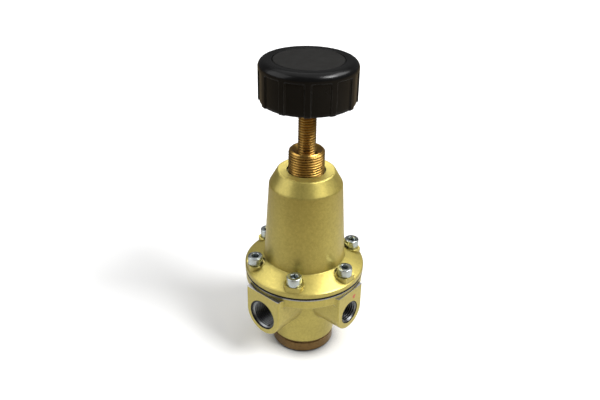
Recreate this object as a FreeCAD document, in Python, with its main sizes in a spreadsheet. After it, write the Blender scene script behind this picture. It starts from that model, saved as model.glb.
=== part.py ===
import FreeCAD, Part
import math
import os

import Sketcher
from FreeCAD import Placement, Rotation, Vector

# Air pressure regulator, diaphragm type, hand set.
# Frame: millimetres, +Z up along the adjusting screw. The origin is on that axis, on the
# bottom plug's lower face, which the regulator stands on. The line ports open along -X and
# +X, the gauge ports along -Y and +Y.
# Heights and drops in the table are measured from the body's top face, where the diaphragm
# is clamped; that face stands top_face above the origin.
# Threads are drawn as plain cylinders at the major diameter, and a thread engaged in its mate
# shares that diameter with it.

doc = FreeCAD.newDocument("air_pressure_regulator")

# ---------------------------------------------------------------- driving dimensions

DIMENSIONS = (
    ("top_face", 52.4, "body's top face above the origin"),
    # bolted joint between bonnet and body
    ("flange_radius", 35.0, "bonnet flange and diaphragm, outside"),
    ("body_rim_radius", 34.6, "body flange, outside"),
    ("body_rim_drop", 6.3, "body flange, thickness"),
    ("diaphragm_thickness", 1.2, "rubber sheet"),
    ("chamber_radius", 26.0, "free part of the diaphragm"),
    ("chamber_depth", 3.3, "shallow chamber under the diaphragm"),
    ("bolt_circle", 30.0, "radius through the bonnet screws"),
    ("bolt_count", 6, "bonnet screws"),
    ("bolt_radius", 2.5, "M5 shank"),
    ("bolt_clearance", 0.25, "radial gap of a shank in bonnet and diaphragm"),
    ("bolt_length", 12.0, "M5 x 12 under the head"),
    ("bolt_hole_depth", 8.0, "tapped depth in the body flange"),
    ("head_radius", 4.25, "M5 cylinder head"),
    ("head_height", 5.0, "M5 cylinder head"),
    ("socket_flats", 4.0, "hexagon socket of an M5 screw"),
    ("socket_depth", 2.6, "hexagon socket of an M5 screw"),
    ("edge_break", 0.5, "chamfer on small turned edges"),
    # bonnet
    ("edge_height", 4.2, "top of the bonnet flange's upright edge"),
    ("foot_radius", 23.6, "bonnet cone at its foot"),
    ("foot_height", 9.2, "bonnet cone at its foot"),
    ("shoulder_radius", 20.7, "bonnet cone at its shoulder"),
    ("shoulder_height", 55.8, "bonnet cone at its shoulder"),
    ("crown_radius", 16.1, "bonnet top face"),
    ("crown_height", 63.7, "bonnet top face"),
    ("wall", 3.6, "bonnet wall"),
    ("ceiling_height", 54.0, "top of the spring space"),
    ("pad_radius", 5.7, "round pad under each screw head"),
    ("pad_height", 7.5, "pad top"),
    ("vent_radius", 1.0, "relief vent in the bonnet"),
    ("vent_height", 14.0, "relief vent in the bonnet"),
    ("counterbore_gap", 0.9, "groove round the collar in the bonnet's top"),
    ("counterbore_depth", 1.6, "groove round the collar in the bonnet's top"),
    # collar and adjusting screw
    ("collar_radius", 10.0, "M20 x 1.5 panel thread"),
    ("collar_top", 76.2, "collar, upper end"),
    ("collar_foot", 50.0, "collar, lower end"),
    ("collar_flange_radius", 13.0, "collar flange inside the bonnet"),
    ("screw_radius", 4.95, "M10 x 1.5 adjusting screw"),
    ("screw_gap", 0.05, "radial gap of the adjusting screw in the collar"),
    ("screw_foot", 45.6, "adjusting screw, lower end"),
    ("ring_radius", 6.8, "stop ring, outside"),
    ("ring_thickness", 1.0, "stop ring"),
    ("ring_seat_radius", 4.0, "groove for the stop ring"),
    ("ring_foot", 48.6, "stop ring, lower face"),
    ("ball_radius", 3.175, "thrust ball"),
    ("ball_gap", 0.025, "gap round the thrust ball"),
    ("ball_height", 44.6, "thrust ball centre"),
    # knob
    ("knob_foot", 103.9, "knob, lower rim"),
    ("knob_radius", 26.0, "knob over its ribs"),
    ("knob_depth", 22.0, "knob, rim to rim"),
    ("knob_shoulder", 3.4, "rounding at the knob's top, upright"),
    ("knob_rim_radius", 21.9, "flat top rim, outside"),
    ("knob_count", 12, "ribs"),
    ("knob_turn", 25.0, "degrees from the X axis to the middle of a panel"),
    ("panel_depth", 0.8, "panels between the ribs"),
    ("panel_angle", 20.5, "panels between the ribs, at their floor"),
    ("panel_top", 17.6, "panels between the ribs, upper end above the lower rim"),
    ("skirt_radius", 23.0, "knob, inside"),
    ("web_foot", 16.2, "underside of the knob's top plate above the lower rim"),
    ("hub_radius", 9.0, "knob hub"),
    ("hub_foot", 2.2, "hub's lower face above the lower rim"),
    ("hub_floor", 15.5, "floor of the screw pocket above the lower rim"),
    ("pocket_radius", 7.0, "pocket for washer and screw"),
    ("stiffener_count", 6, "webs inside the knob"),
    ("stiffener_half", 0.8, "webs inside the knob, half thickness"),
    ("stiffener_height", 6.0, "webs inside the knob"),
    ("panel_flank", 1.6, "degrees from a panel's floor edge to its rib"),
    ("cap_radius", 18.5, "insert disc"),
    ("cap_recess_radius", 18.9, "recess for the insert disc"),
    ("cap_recess_depth", 1.8, "recess for the insert disc"),
    ("cap_crown", 0.9, "rise of the insert disc at its centre"),
    ("drive_flats", 8.0, "hexagon end of the adjusting screw"),
    ("knob_screw_length", 10.0, "knob screw under its head"),
    ("knob_screw_head", 2.6, "knob screw, low head height"),
    ("knob_screw_socket", 3.0, "knob screw, hexagon across flats"),
    ("knob_screw_tapping", 11.0, "tapped depth in the adjusting screw"),
    ("knob_washer", 1.0, "washer under the knob screw"),
    # main spring and diaphragm stack
    ("spring_wire", 1.5, "main spring, wire radius"),
    ("spring_radius", 11.5, "main spring, mean radius"),
    ("spring_length", 35.0, "main spring, relaxed"),
    ("spring_turns", 6.5, "main spring"),
    ("plate_radius", 17.0, "diaphragm plates"),
    ("plate_thickness", 2.0, "spring plate"),
    ("washer_thickness", 1.5, "lower diaphragm plate"),
    ("stud_radius", 4.0, "relief stud M8"),
    ("stud_head_radius", 6.0, "relief stud head"),
    ("stud_head_height", 2.5, "relief stud head"),
    ("relief_radius", 1.5, "relief passage"),
    ("nut_flats", 13.0, "M8 nut"),
    ("nut_height", 4.0, "M8 thin nut"),
    # body
    ("barrel_radius", 19.0, "body below the bosses"),
    ("barrel_foot", 43.6, "body's lower face below the top face"),
    ("boss_top", 2.2, "boss tops below the top face"),
    ("port_drop", 17.0, "port axes below the top face"),
    ("line_face", 36.0, "line port faces from the axis"),
    ("line_boss", 12.3, "line boss, half width"),
    ("line_bore", 8.33, "G 3/8 major radius"),
    ("line_mouth", 8.95, "G 3/8 chamfer radius"),
    ("gauge_face", 35.3, "gauge port faces from the axis"),
    ("gauge_boss", 10.7, "gauge boss, half width"),
    ("gauge_bore", 6.58, "G 1/4 major radius"),
    ("gauge_mouth", 7.0, "G 1/4 chamfer radius"),
    ("thread_depth", 12.0, "tapped depth of every port"),
    ("baffle_radius", 14.0, "pocket for the baffle plate"),
    ("baffle_top", 6.0, "baffle plate top below the top face"),
    ("baffle_thickness", 1.5, "baffle plate"),
    ("outlet_radius", 12.0, "chamber above the seat"),
    ("seat_web_top", 12.8, "seat web below the top face"),
    ("seat_web_foot", 17.0, "seat web below the top face"),
    ("seat_radius", 8.0, "seat ring thread"),
    ("seat_bore", 6.0, "seat ring bore"),
    ("seat_lip", 19.2, "seat lip below the top face"),
    ("inlet_radius", 13.0, "chamber below the seat"),
    ("outlet_passage_drop", 12.0, "passage to the outlet port below the top face"),
    ("outlet_passage_radius", 3.8, "passage to the outlet port"),
    ("inlet_passage_drop", 21.5, "passage from the inlet port below the top face"),
    ("inlet_passage_radius", 4.8, "passage from the inlet port"),
    ("gauge_passage_drop", 12.5, "passages to the gauge ports below the top face"),
    ("gauge_passage_radius", 1.5, "passages to the gauge ports"),
    ("casting_fillet", 2.0, "inner corners of the casting"),
    ("casting_edge", 0.7, "outer corners of the casting"),
    ("plug_thread", 15.0, "M30 x 1.5 plug thread"),
    ("plug_thread_top", 35.0, "upper end of the plug thread below the top face"),
    # valve and plug
    ("stem_radius", 2.0, "push pin"),
    ("guide_radius", 3.0, "lower valve stem"),
    ("stem_gap", 0.05, "radial gap of the stem in its guides"),
    ("valve_radius", 10.0, "valve disc"),
    ("seal_radius", 9.2, "rubber face"),
    ("seal_thickness", 2.0, "rubber face"),
    ("valve_foot", 24.0, "underside of the valve disc below the top face"),
    ("stem_foot", 45.0, "lower end of the stem below the top face"),
    ("valve_wire", 0.6, "valve spring, wire radius"),
    ("valve_spring_radius", 7.6, "valve spring, mean radius"),
    ("valve_spring_turns", 7.0, "valve spring"),
    ("plug_radius", 18.6, "bottom plug head"),
    ("gasket_thickness", 0.5, "plug gasket"),
    ("plug_pocket_radius", 10.0, "spring pocket in the plug"),
    ("plug_pocket_floor", 46.0, "spring pocket floor below the top face"),
    ("guide_boss_radius", 6.0, "stem guide in the plug"),
    ("guide_boss_top", 38.0, "stem guide in the plug below the top face"),
    ("plug_chamfer", 1.3, "lower edge of the plug"),
    ("plug_groove", 0.5, "groove below the plug's seam"),
    ("spanner_offset", 12.5, "spanner holes in the plug from the axis"),
    ("spanner_radius", 2.0, "spanner holes in the plug"),
    ("spanner_depth", 3.5, "spanner holes in the plug"),
    ("ring_drop", 40.4, "stem O-ring below the top face"),
    ("ring_cord", 0.88, "stem O-ring, cord radius"),
    ("tube_radius", 1.2, "aspirator tube, outside"),
    ("tube_bore", 0.8, "aspirator tube, inside"),
    ("tube_offset", 8.5, "aspirator tube from the axis"),
    ("tube_bend", 2.5, "aspirator tube, bend radius of its middle line"),
    ("tube_drop", 5.4, "aspirator tube, from the baffle's top down to its level part"),
    ("tube_reach", 7.0, "aspirator tube, length of its level part"),
)

sheet = doc.addObject("Spreadsheet::Sheet", "Sizes")
for row, (alias, value, note) in enumerate(DIMENSIONS, start=1):
    sheet.set(f"A{row}", note)
    sheet.set(f"B{row}", str(value))
    sheet.setAlias(f"B{row}", alias)
doc.recompute()

ALIASES = sorted((alias for alias, _, _ in DIMENSIONS), key=len, reverse=True)
SIZE = {alias: float(sheet.get(alias)) for alias in ALIASES}

# Expressions used by several sub-parts.
SPRING_FOOT = "diaphragm_thickness + plate_thickness"
# The bonnet screws stand 60 degrees apart, two of them over the gauge ports.
FIRST_BOLT = ("0", "bolt_circle")
# How far a rib or tool runs into its neighbour so that the two join cleanly.
SUNK_IN = "0.5"


# ---------------------------------------------------------------- helpers

def bound(text):
    """An expression in the sheet's aliases, written for setExpression."""
    words = []
    word = ""
    for mark in str(text) + " ":
        if mark.isalnum() or mark == "_":
            word += mark
            continue
        words.append("Sizes." + word if word in SIZE else word)
        words.append(mark)
        word = ""
    return "".join(words).strip()


def size_of(text):
    """The number that an expression in the sheet's aliases stands for."""
    return float(sheet.evalExpression(bound(text)))


def set_size(thing, prop, text):
    """Binds one property of an object to the sheet."""
    thing.setExpression(prop, bound(text))


def piece(name, height="0"):
    """A PartDesign body for one sub-part, standing at a height above the body's top face."""
    body = doc.addObject("PartDesign::Body", name)
    body.Label = name
    set_size(body, "Placement.Base.z", f"top_face + {height}")
    return body


def plane_of(body, role):
    """One of the body's own origin planes."""
    return next(f for f in body.Origin.OriginFeatures if f.Role == role)


def pin_point(sketch, geometry, end, across, up):
    """Holds one point of a sketch at (across, up), both expressions."""
    for text, kind, axis in ((across, "DistanceX", -2), (up, "DistanceY", -1)):
        value = size_of(text)
        if abs(value) < 1e-9:
            sketch.addConstraint(Sketcher.Constraint("PointOnObject", geometry, end, axis))
        elif value > 0:
            index = sketch.addConstraint(Sketcher.Constraint(kind, -1, 1, geometry, end, value))
            set_size(sketch, f"Constraints[{index}]", text)
        else:
            index = sketch.addConstraint(Sketcher.Constraint(kind, geometry, end, -1, 1, -value))
            set_size(sketch, f"Constraints[{index}]", f"-({text})")


def arc_between(first, last, radius, turn):
    """The short arc from first to last; turn is 1 for anticlockwise and -1 for clockwise."""
    chord = last - first
    rise = math.sqrt(max(radius ** 2 - (chord.Length / 2) ** 2, 0))
    side = Vector(-chord.y, chord.x, 0).normalize() * turn
    centre = (first + last) * 0.5 + side * rise
    start, stop = (first, last) if turn > 0 else (last, first)
    angles = [math.atan2(p.y - centre.y, p.x - centre.x) for p in (start, stop)]
    return Part.ArcOfCircle(Part.Circle(centre, Vector(0, 0, 1), radius), *angles)


def new_sketch(body, name, role, lift="0"):
    """An empty sketch on one of the body's origin planes, moved along its normal by lift."""
    sketch = body.newObject("Sketcher::SketchObject", name)
    sketch.AttachmentSupport = [(plane_of(body, role), "")]
    sketch.MapMode = "FlatFace"
    if lift != "0":
        set_size(sketch, "AttachmentOffset.Base.z", lift)
    return sketch


def outline(body, name, role, corners, lift="0"):
    """A closed sketch through corners.

    A corner is (across, up), or (across, up, radius, turn) where an arc leaves it.
    """
    sketch = new_sketch(body, name, role, lift)
    points = [Vector(size_of(c[0]), size_of(c[1]), 0) for c in corners]
    ends = []
    for index, corner in enumerate(corners):
        first = points[index]
        last = points[(index + 1) % len(points)]
        if len(corner) == 2:
            sketch.addGeometry(Part.LineSegment(first, last), False)
            ends.append((1, 2))
            continue
        radius, turn = corner[2:]
        sketch.addGeometry(arc_between(first, last, size_of(radius), turn), False)
        ends.append((1, 2) if turn > 0 else (2, 1))
    for index in range(len(corners)):
        after = (index + 1) % len(corners)
        link = Sketcher.Constraint("Coincident", index, ends[index][1], after, ends[after][0])
        sketch.addConstraint(link)
    for index, corner in enumerate(corners):
        pin_point(sketch, index, ends[index][0], corner[0], corner[1])
        if len(corner) == 4:
            held = Sketcher.Constraint("Radius", index, size_of(corner[2]))
            set_size(sketch, f"Constraints[{sketch.addConstraint(held)}]", corner[2])
    return sketch


def disc(body, name, role, across, up, radius, lift="0"):
    """A sketch of one circle."""
    sketch = new_sketch(body, name, role, lift)
    centre = Vector(size_of(across), size_of(up), 0)
    sketch.addGeometry(Part.Circle(centre, Vector(0, 0, 1), size_of(radius)), False)
    pin_point(sketch, 0, 3, across, up)
    index = sketch.addConstraint(Sketcher.Constraint("Radius", 0, size_of(radius)))
    set_size(sketch, f"Constraints[{index}]", radius)
    return sketch


def hexagon(body, name, flats, lift="0"):
    """A hexagon across flats, round the Z axis, with two corners on the Y axis."""
    half = f"({flats}) / 2"
    short = f"({flats}) / 2 / sqrt(3)"
    long = f"({flats}) / sqrt(3)"
    corners = [
        (half, f"-{short}"), (half, short), ("0", long),
        (f"-{half}", short), (f"-{half}", f"-{short}"), ("0", f"-{long}"),
    ]
    return outline(body, name, "XY_Plane", corners, lift)


def turned(body, corners, name="profile"):
    """Turns an outline in the XZ plane round the Z axis, adding it to the body."""
    feature = body.newObject("PartDesign::Revolution", f"{body.Name}_turned_{name}")
    sketch = outline(body, f"{body.Name}_{name}", "XZ_Plane", corners)
    return spin(feature, sketch)


def grooved(body, corners, name="cavity"):
    """Turns an outline in the XZ plane round the Z axis, taking it from the body."""
    sketch = outline(body, f"{body.Name}_{name}", "XZ_Plane", corners)
    feature = body.newObject("PartDesign::Groove", f"{body.Name}_grooved_{name}")
    return spin(feature, sketch)


def spin(feature, sketch):
    """Sets a Revolution or Groove to a full turn round the sketch's vertical axis."""
    feature.Profile = sketch
    feature.ReferenceAxis = (sketch, ["V_Axis"])
    feature.Angle = 360
    return feature


def raised(body, sketch, height, both_sides=False):
    """A pad; both_sides centres it on the sketch."""
    feature = body.newObject("PartDesign::Pad", f"{sketch.Name}_pad")
    feature.Profile = sketch
    feature.Midplane = both_sides
    set_size(feature, "Length", height)
    return feature


def sunk(body, sketch, depth, reverse=False):
    """A pocket; reverse makes it cut along the sketch's normal."""
    feature = body.newObject("PartDesign::Pocket", f"{sketch.Name}_pocket")
    feature.Profile = sketch
    feature.Reversed = reverse
    set_size(feature, "Length", depth)
    return feature


def around(body, feature, count):
    """Repeats a feature round the body's Z axis."""
    pattern = body.newObject("PartDesign::PolarPattern", f"{feature.Name}_pattern")
    pattern.Originals = [feature]
    z_axis = next(f for f in body.Origin.OriginFeatures if f.Role == "Z_Axis")
    pattern.Axis = (z_axis, [""])
    pattern.Angle = 360
    set_size(pattern, "Occurrences", count)
    body.Tip = pattern
    return pattern


# ---------------------------------------------------------------- knob group

def make_knob():
    knob = piece("knob", "knob_foot")
    turned(knob, [
        ("0", "hub_foot"),
        ("hub_radius", "hub_foot"),
        ("hub_radius", "web_foot"),
        ("skirt_radius", "web_foot"),
        ("skirt_radius", "0"),
        ("knob_radius - edge_break", "0", "edge_break", 1),
        ("knob_radius", "edge_break"),
        ("knob_radius", "knob_depth - knob_shoulder", "knob_shoulder * 1.1", 1),
        ("knob_rim_radius", "knob_depth"),
        ("cap_recess_radius", "knob_depth"),
        ("cap_recess_radius", "knob_depth - cap_recess_depth"),
        ("pocket_radius", "knob_depth - cap_recess_depth"),
        ("pocket_radius", "hub_floor"),
        ("0", "hub_floor"),
    ])
    stiffener = outline(knob, "knob_stiffener", "XY_Plane", [
        (f"hub_radius - {SUNK_IN}", "-stiffener_half"),
        (f"skirt_radius + {SUNK_IN}", "-stiffener_half"),
        (f"skirt_radius + {SUNK_IN}", "stiffener_half"),
        (f"hub_radius - {SUNK_IN}", "stiffener_half"),
    ], "web_foot - stiffener_height")
    around(knob, raised(knob, stiffener, f"stiffener_height + {SUNK_IN}"), "stiffener_count")
    inner = "(knob_radius - panel_depth)"
    outer = "(knob_radius + 1)"
    spread = "panel_angle / 2"
    wide = "(panel_angle / 2 + panel_flank)"
    panel = outline(knob, "knob_panel", "XY_Plane", [
        (f"{outer} * cos({wide})", f"-{outer} * sin({wide})"),
        (f"{outer} * cos({wide})", f"{outer} * sin({wide})"),
        (f"{inner} * cos({spread})", f"{inner} * sin({spread})", inner, -1),
        (f"{inner} * cos({spread})", f"-{inner} * sin({spread})"),
    ])
    around(knob, sunk(knob, panel, "panel_top", reverse=True), "knob_count")
    socket = hexagon(knob, "knob_drive", "drive_flats", "hub_foot")
    sunk(knob, socket, "hub_floor - hub_foot", reverse=True)
    set_size(knob, "Placement.Rotation.Angle", "knob_turn")
    return knob


def make_knob_cap():
    cap = piece("knob_cap", "knob_foot + knob_depth - cap_recess_depth")
    crown = "(cap_radius ^ 2 + cap_crown ^ 2) / (2 * cap_crown)"
    turned(cap, [
        ("0", "0"),
        ("cap_radius", "0"),
        ("cap_radius", "cap_recess_depth", crown, 1),
        ("0", "cap_recess_depth + cap_crown"),
    ])
    return cap


def make_knob_screw():
    screw = piece("knob_screw", "knob_foot + hub_floor + knob_washer")
    turned(screw, [
        ("0", "-knob_screw_length"),
        ("bolt_radius", "-knob_screw_length"),
        ("bolt_radius", "0"),
        ("head_radius", "0"),
        ("head_radius", "knob_screw_head - edge_break"),
        ("head_radius - edge_break", "knob_screw_head"),
        ("0", "knob_screw_head"),
    ])
    socket = hexagon(screw, "knob_screw_hexagon", "knob_screw_socket", "knob_screw_head")
    sunk(screw, socket, "knob_screw_head - knob_washer")
    return screw


def make_knob_washer():
    washer = piece("knob_washer", "knob_foot + hub_floor")
    turned(washer, [
        ("bolt_radius + bolt_clearance", "0"),
        ("pocket_radius - bolt_clearance", "0"),
        ("pocket_radius - bolt_clearance", "knob_washer"),
        ("bolt_radius + bolt_clearance", "knob_washer"),
    ])
    return washer


def make_adjusting_screw():
    screw = piece("adjusting_screw", "screw_foot")
    seat = "(ball_radius + ball_gap)"
    drop = "(screw_foot - ball_height)"
    clip = "(ring_foot - screw_foot)"
    clip_end = "(ring_foot - screw_foot + ring_thickness)"
    shoulder = "(knob_foot + hub_foot - screw_foot)"
    turned(screw, [
        ("0", f"{seat} - {drop}"),
        ("0", shoulder),
        ("screw_radius", shoulder),
        ("screw_radius", clip_end),
        ("ring_seat_radius", clip_end),
        ("ring_seat_radius", clip),
        ("screw_radius", clip),
        ("screw_radius", "1"),
        ("screw_radius - 0.9", "0"),
        (f"sqrt({seat} ^ 2 - {drop} ^ 2)", "0", seat, 1),
    ])
    end = hexagon(screw, "adjusting_screw_drive", "drive_flats", shoulder)
    raised(screw, end, "hub_floor - hub_foot - edge_break")
    top = "(knob_foot + hub_floor - edge_break - screw_foot)"
    tapping = disc(screw, "adjusting_screw_tapping", "XY_Plane", "0", "0", "bolt_radius", top)
    sunk(screw, tapping, "knob_screw_tapping")
    set_size(screw, "Placement.Rotation.Angle", "knob_turn")
    return screw


def make_spindle_stop_ring():
    ring = piece("spindle_stop_ring", "ring_foot")
    turned(ring, [
        ("ring_seat_radius", "0"),
        ("ring_radius", "0"),
        ("ring_radius", "ring_thickness"),
        ("ring_seat_radius", "ring_thickness"),
    ])
    mouth = outline(ring, "stop_ring_mouth", "XY_Plane", [
        ("0", "-1.5"), ("ring_radius + 1", "-1.5"), ("ring_radius + 1", "1.5"), ("0", "1.5"),
    ])
    sunk(ring, mouth, "ring_thickness", reverse=True)
    return ring


# ---------------------------------------------------------------- spring carrier

def make_thrust_ball():
    ball = doc.addObject("Part::Sphere", "thrust_ball")
    set_size(ball, "Radius", "ball_radius")
    set_size(ball, "Placement.Base.z", "top_face + ball_height")
    return ball


def make_spring_button():
    button = piece("spring_button", f"{SPRING_FOOT} + spring_length")
    seat = "(ball_radius + ball_gap)"
    lift = f"(ball_height - ({SPRING_FOOT}) - spring_length)"
    neck = "(spring_radius - spring_wire - 0.4)"
    turned(button, [
        ("0", "-1.6"),
        (f"{neck} - 0.6", "-1.6"),
        (neck, "-1"),
        (neck, "0"),
        ("spring_radius + spring_wire + 0.9", "0"),
        ("spring_radius + spring_wire + 0.9", "2.6"),
        ("6.5", "3.6"),
        ("6.5", f"{lift} - 1"),
        (f"sqrt({seat} ^ 2 - 1)", f"{lift} - 1", seat, -1),
        ("0", f"{lift} - {seat}"),
    ])
    return button


def coil(name, foot, length, radius, wire, turns):
    """A spring with ground ends, standing on foot: its wire runs past both ends and is cut flat."""
    excess = f"({wire}) / 2"
    helix = doc.addObject("Part::Helix", f"{name}_path")
    set_size(helix, "Height", f"({length}) + 2 * {excess}")
    set_size(helix, "Pitch", f"(({length}) + 2 * {excess}) / ({turns})")
    set_size(helix, "Radius", radius)
    set_size(helix, "Placement.Base.z", f"-{excess}")
    ring = doc.addObject("Part::Circle", f"{name}_wire")
    ring.Placement = Placement(Vector(), Rotation(Vector(1, 0, 0), 90))
    set_size(ring, "Radius", wire)
    set_size(ring, "Placement.Base.x", radius)
    set_size(ring, "Placement.Base.z", f"-{excess}")
    sweep = doc.addObject("Part::Sweep", f"{name}_sweep")
    sweep.Sections = [ring]
    sweep.Spine = (helix, ["Edge1"])
    sweep.Solid = True
    sweep.Frenet = True
    space = doc.addObject("Part::Cylinder", f"{name}_space")
    set_size(space, "Radius", f"{radius} + 2 * ({wire})")
    set_size(space, "Height", length)
    spring = doc.addObject("Part::Common", name)
    spring.Base = sweep
    spring.Tool = space
    set_size(spring, "Placement.Base.z", f"top_face + {foot}")
    return spring


def make_main_spring():
    return coil("main_spring", SPRING_FOOT, "spring_length", "spring_radius",
                "spring_wire", "spring_turns")


# ---------------------------------------------------------------- diaphragm stack

def make_spring_plate():
    plate = piece("spring_plate", "diaphragm_thickness")
    lip = "(spring_radius - spring_wire - 0.4)"
    turned(plate, [
        ("stud_radius", "0"),
        ("plate_radius", "0"),
        ("plate_radius", "plate_thickness - 0.5"),
        ("plate_radius - 0.5", "plate_thickness"),
        (lip, "plate_thickness"),
        (lip, "plate_thickness + 1.4"),
        (f"{lip} - 1.2", "plate_thickness + 1.4"),
        (f"{lip} - 1.2", "plate_thickness"),
        ("stud_radius", "plate_thickness"),
    ])
    return plate


def make_diaphragm():
    sheet_of_rubber = piece("diaphragm")
    middle = "((plate_radius + chamber_radius) / 2)"
    reach = "((chamber_radius - plate_radius) / 2 - 1.2)"
    rise = "1.7"
    under = f"({reach} - diaphragm_thickness)"
    turned(sheet_of_rubber, [
        ("stud_radius", "0"),
        (f"{middle} - {under}", "0", f"({under} ^ 2 + {rise} ^ 2) / (2 * {rise})", -1),
        (middle, rise, f"({under} ^ 2 + {rise} ^ 2) / (2 * {rise})", -1),
        (f"{middle} + {under}", "0"),
        ("flange_radius", "0"),
        ("flange_radius", "diaphragm_thickness"),
        (f"{middle} + {reach}", "diaphragm_thickness",
         f"({reach} ^ 2 + {rise} ^ 2) / (2 * {rise})", 1),
        (middle, f"diaphragm_thickness + {rise}",
         f"({reach} ^ 2 + {rise} ^ 2) / (2 * {rise})", 1),
        (f"{middle} - {reach}", "diaphragm_thickness"),
        ("stud_radius", "diaphragm_thickness"),
    ])
    hole = disc(sheet_of_rubber, "diaphragm_hole", "XY_Plane", *FIRST_BOLT,
                "bolt_radius + bolt_clearance")
    cut = sunk(sheet_of_rubber, hole, "diaphragm_thickness", reverse=True)
    around(sheet_of_rubber, cut, "bolt_count")
    return sheet_of_rubber


def make_diaphragm_washer():
    washer = piece("diaphragm_washer", "-washer_thickness")
    turned(washer, [
        ("stud_radius", "0"),
        ("plate_radius - 0.5", "0"),
        ("plate_radius", "0.5"),
        ("plate_radius", "washer_thickness"),
        ("stud_radius", "washer_thickness"),
    ])
    return washer


def make_relief_stud():
    stud = piece("relief_stud", "-washer_thickness")
    top = "(washer_thickness + diaphragm_thickness + plate_thickness + nut_height + 1)"
    turned(stud, [
        ("relief_radius", "-stud_head_height"),
        ("stud_head_radius - 0.5", "-stud_head_height"),
        ("stud_head_radius", "-stud_head_height + 0.5"),
        ("stud_head_radius", "0"),
        ("stud_radius", "0"),
        ("stud_radius", f"{top} - 0.6"),
        ("stud_radius - 0.6", top),
        ("relief_radius", top),
    ])
    return stud


def make_diaphragm_nut():
    nut = piece("diaphragm_nut", SPRING_FOOT)
    raised(nut, hexagon(nut, "diaphragm_nut_flats", "nut_flats"), "nut_height")
    bore = disc(nut, "diaphragm_nut_bore", "XY_Plane", "0", "0", "stud_radius")
    sunk(nut, bore, "nut_height", reverse=True)
    return nut


# ---------------------------------------------------------------- valve

def make_valve_stem():
    stem = piece("valve_stem", "-seat_lip")
    turned(stem, [
        ("0", "-(stem_foot - seat_lip)"),
        ("guide_radius - 0.5", "-(stem_foot - seat_lip)"),
        ("guide_radius", "-(stem_foot - seat_lip) + 0.5"),
        ("guide_radius", "0"),
        ("guide_radius + 1.5", "0"),
        ("guide_radius + 1.5", "0.8"),
        ("stem_radius", "0.8"),
        ("stem_radius", "seat_lip - washer_thickness - stud_head_height"),
        ("0", "seat_lip - washer_thickness - stud_head_height"),
    ])
    return stem


def make_valve_seal():
    seal = piece("valve_seal", "-seat_lip - seal_thickness")
    turned(seal, [
        ("guide_radius", "0"),
        ("seal_radius", "0"),
        ("seal_radius", "seal_thickness"),
        ("guide_radius", "seal_thickness"),
    ])
    return seal


def make_valve_disc():
    cup = piece("valve_disc", "-valve_foot")
    floor = "(valve_foot - seat_lip - seal_thickness)"
    turned(cup, [
        ("guide_radius", "0"),
        ("valve_radius - 0.6", "0"),
        ("valve_radius", "0.6"),
        ("valve_radius", f"{floor} + 1.2"),
        ("seal_radius", f"{floor} + 1.2"),
        ("seal_radius", floor),
        ("guide_radius", floor),
    ])
    return cup


def make_stem_nut():
    nut = piece("stem_nut", "-valve_foot - 3")
    raised(nut, hexagon(nut, "stem_nut_flats", "drive_flats"), "3")
    bore = disc(nut, "stem_nut_bore", "XY_Plane", "0", "0", "guide_radius")
    sunk(nut, bore, "3", reverse=True)
    return nut


def make_valve_spring():
    return coil("valve_spring", "-plug_pocket_floor", "plug_pocket_floor - valve_foot",
                "valve_spring_radius", "valve_wire", "valve_spring_turns")


# ---------------------------------------------------------------- bonnet

def make_bonnet():
    bonnet = piece("bonnet", "diaphragm_thickness")
    # Heights below are above the bonnet's own flange face.
    edge = "(edge_height - diaphragm_thickness)"
    foot = "(foot_height - diaphragm_thickness)"
    shoulder = "(shoulder_height - diaphragm_thickness)"
    crown = "(crown_height - diaphragm_thickness)"
    ceiling = "(ceiling_height - diaphragm_thickness)"
    pad = "(pad_height - diaphragm_thickness)"
    turned(bonnet, [
        ("0", "0"),
        ("flange_radius", "0"),
        ("flange_radius", f"{edge} - 0.6"),
        ("flange_radius - 0.6", edge),
        ("foot_radius + 0.3", f"{foot} - 0.1"),
        ("foot_radius", f"{foot} + 0.3"),
        ("shoulder_radius", f"{shoulder} - 0.4"),
        ("shoulder_radius - 0.3", f"{shoulder} + 0.4"),
        ("crown_radius + 0.3", f"{crown} - 0.4"),
        ("crown_radius - 0.4", crown),
        ("0", crown),
    ])
    round_pad = disc(bonnet, "bonnet_pad", "XY_Plane", *FIRST_BOLT, "pad_radius")
    around(bonnet, raised(bonnet, round_pad, pad), "bolt_count")
    # The pads stop where the flange edge begins to round off.
    grooved(bonnet, [
        ("flange_radius - 0.6", f"{pad} + 1"),
        ("flange_radius - 0.6", edge),
        ("flange_radius", f"{edge} - 0.6"),
        ("flange_radius", "-1"),
        ("flange_radius + 3", "-1"),
        ("flange_radius + 3", f"{pad} + 1"),
    ], "pad_trim")
    spot = disc(bonnet, "bonnet_spot_face", "XY_Plane", *FIRST_BOLT, "pad_radius + 0.01", pad)
    around(bonnet, sunk(bonnet, spot, "head_height + 3", reverse=True), "bolt_count")
    grooved(bonnet, [
        ("0", "-1"),
        ("chamber_radius", "-1"),
        ("chamber_radius", "1.6"),
        ("foot_radius - wall", f"{foot} - wall + 0.8"),
        ("shoulder_radius - wall", f"{ceiling} - 2"),
        ("shoulder_radius - wall - 2", ceiling),
        ("0", ceiling),
    ])
    grooved(bonnet, [
        ("0", f"{ceiling} - 1"),
        ("collar_radius", f"{ceiling} - 1"),
        ("collar_radius", f"{crown} - counterbore_depth"),
        ("collar_radius + counterbore_gap", f"{crown} - counterbore_depth"),
        ("collar_radius + counterbore_gap", f"{crown} + 1"),
        ("0", f"{crown} + 1"),
    ], "collar_bore")
    hole = disc(bonnet, "bonnet_hole", "XY_Plane", *FIRST_BOLT, "bolt_radius + bolt_clearance")
    around(bonnet, sunk(bonnet, hole, pad, reverse=True), "bolt_count")
    vent = disc(bonnet, "bonnet_vent", "YZ_Plane", "0",
                "vent_height - diaphragm_thickness", "vent_radius")
    sunk(bonnet, vent, "foot_radius + 1", reverse=True)
    return bonnet


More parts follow.
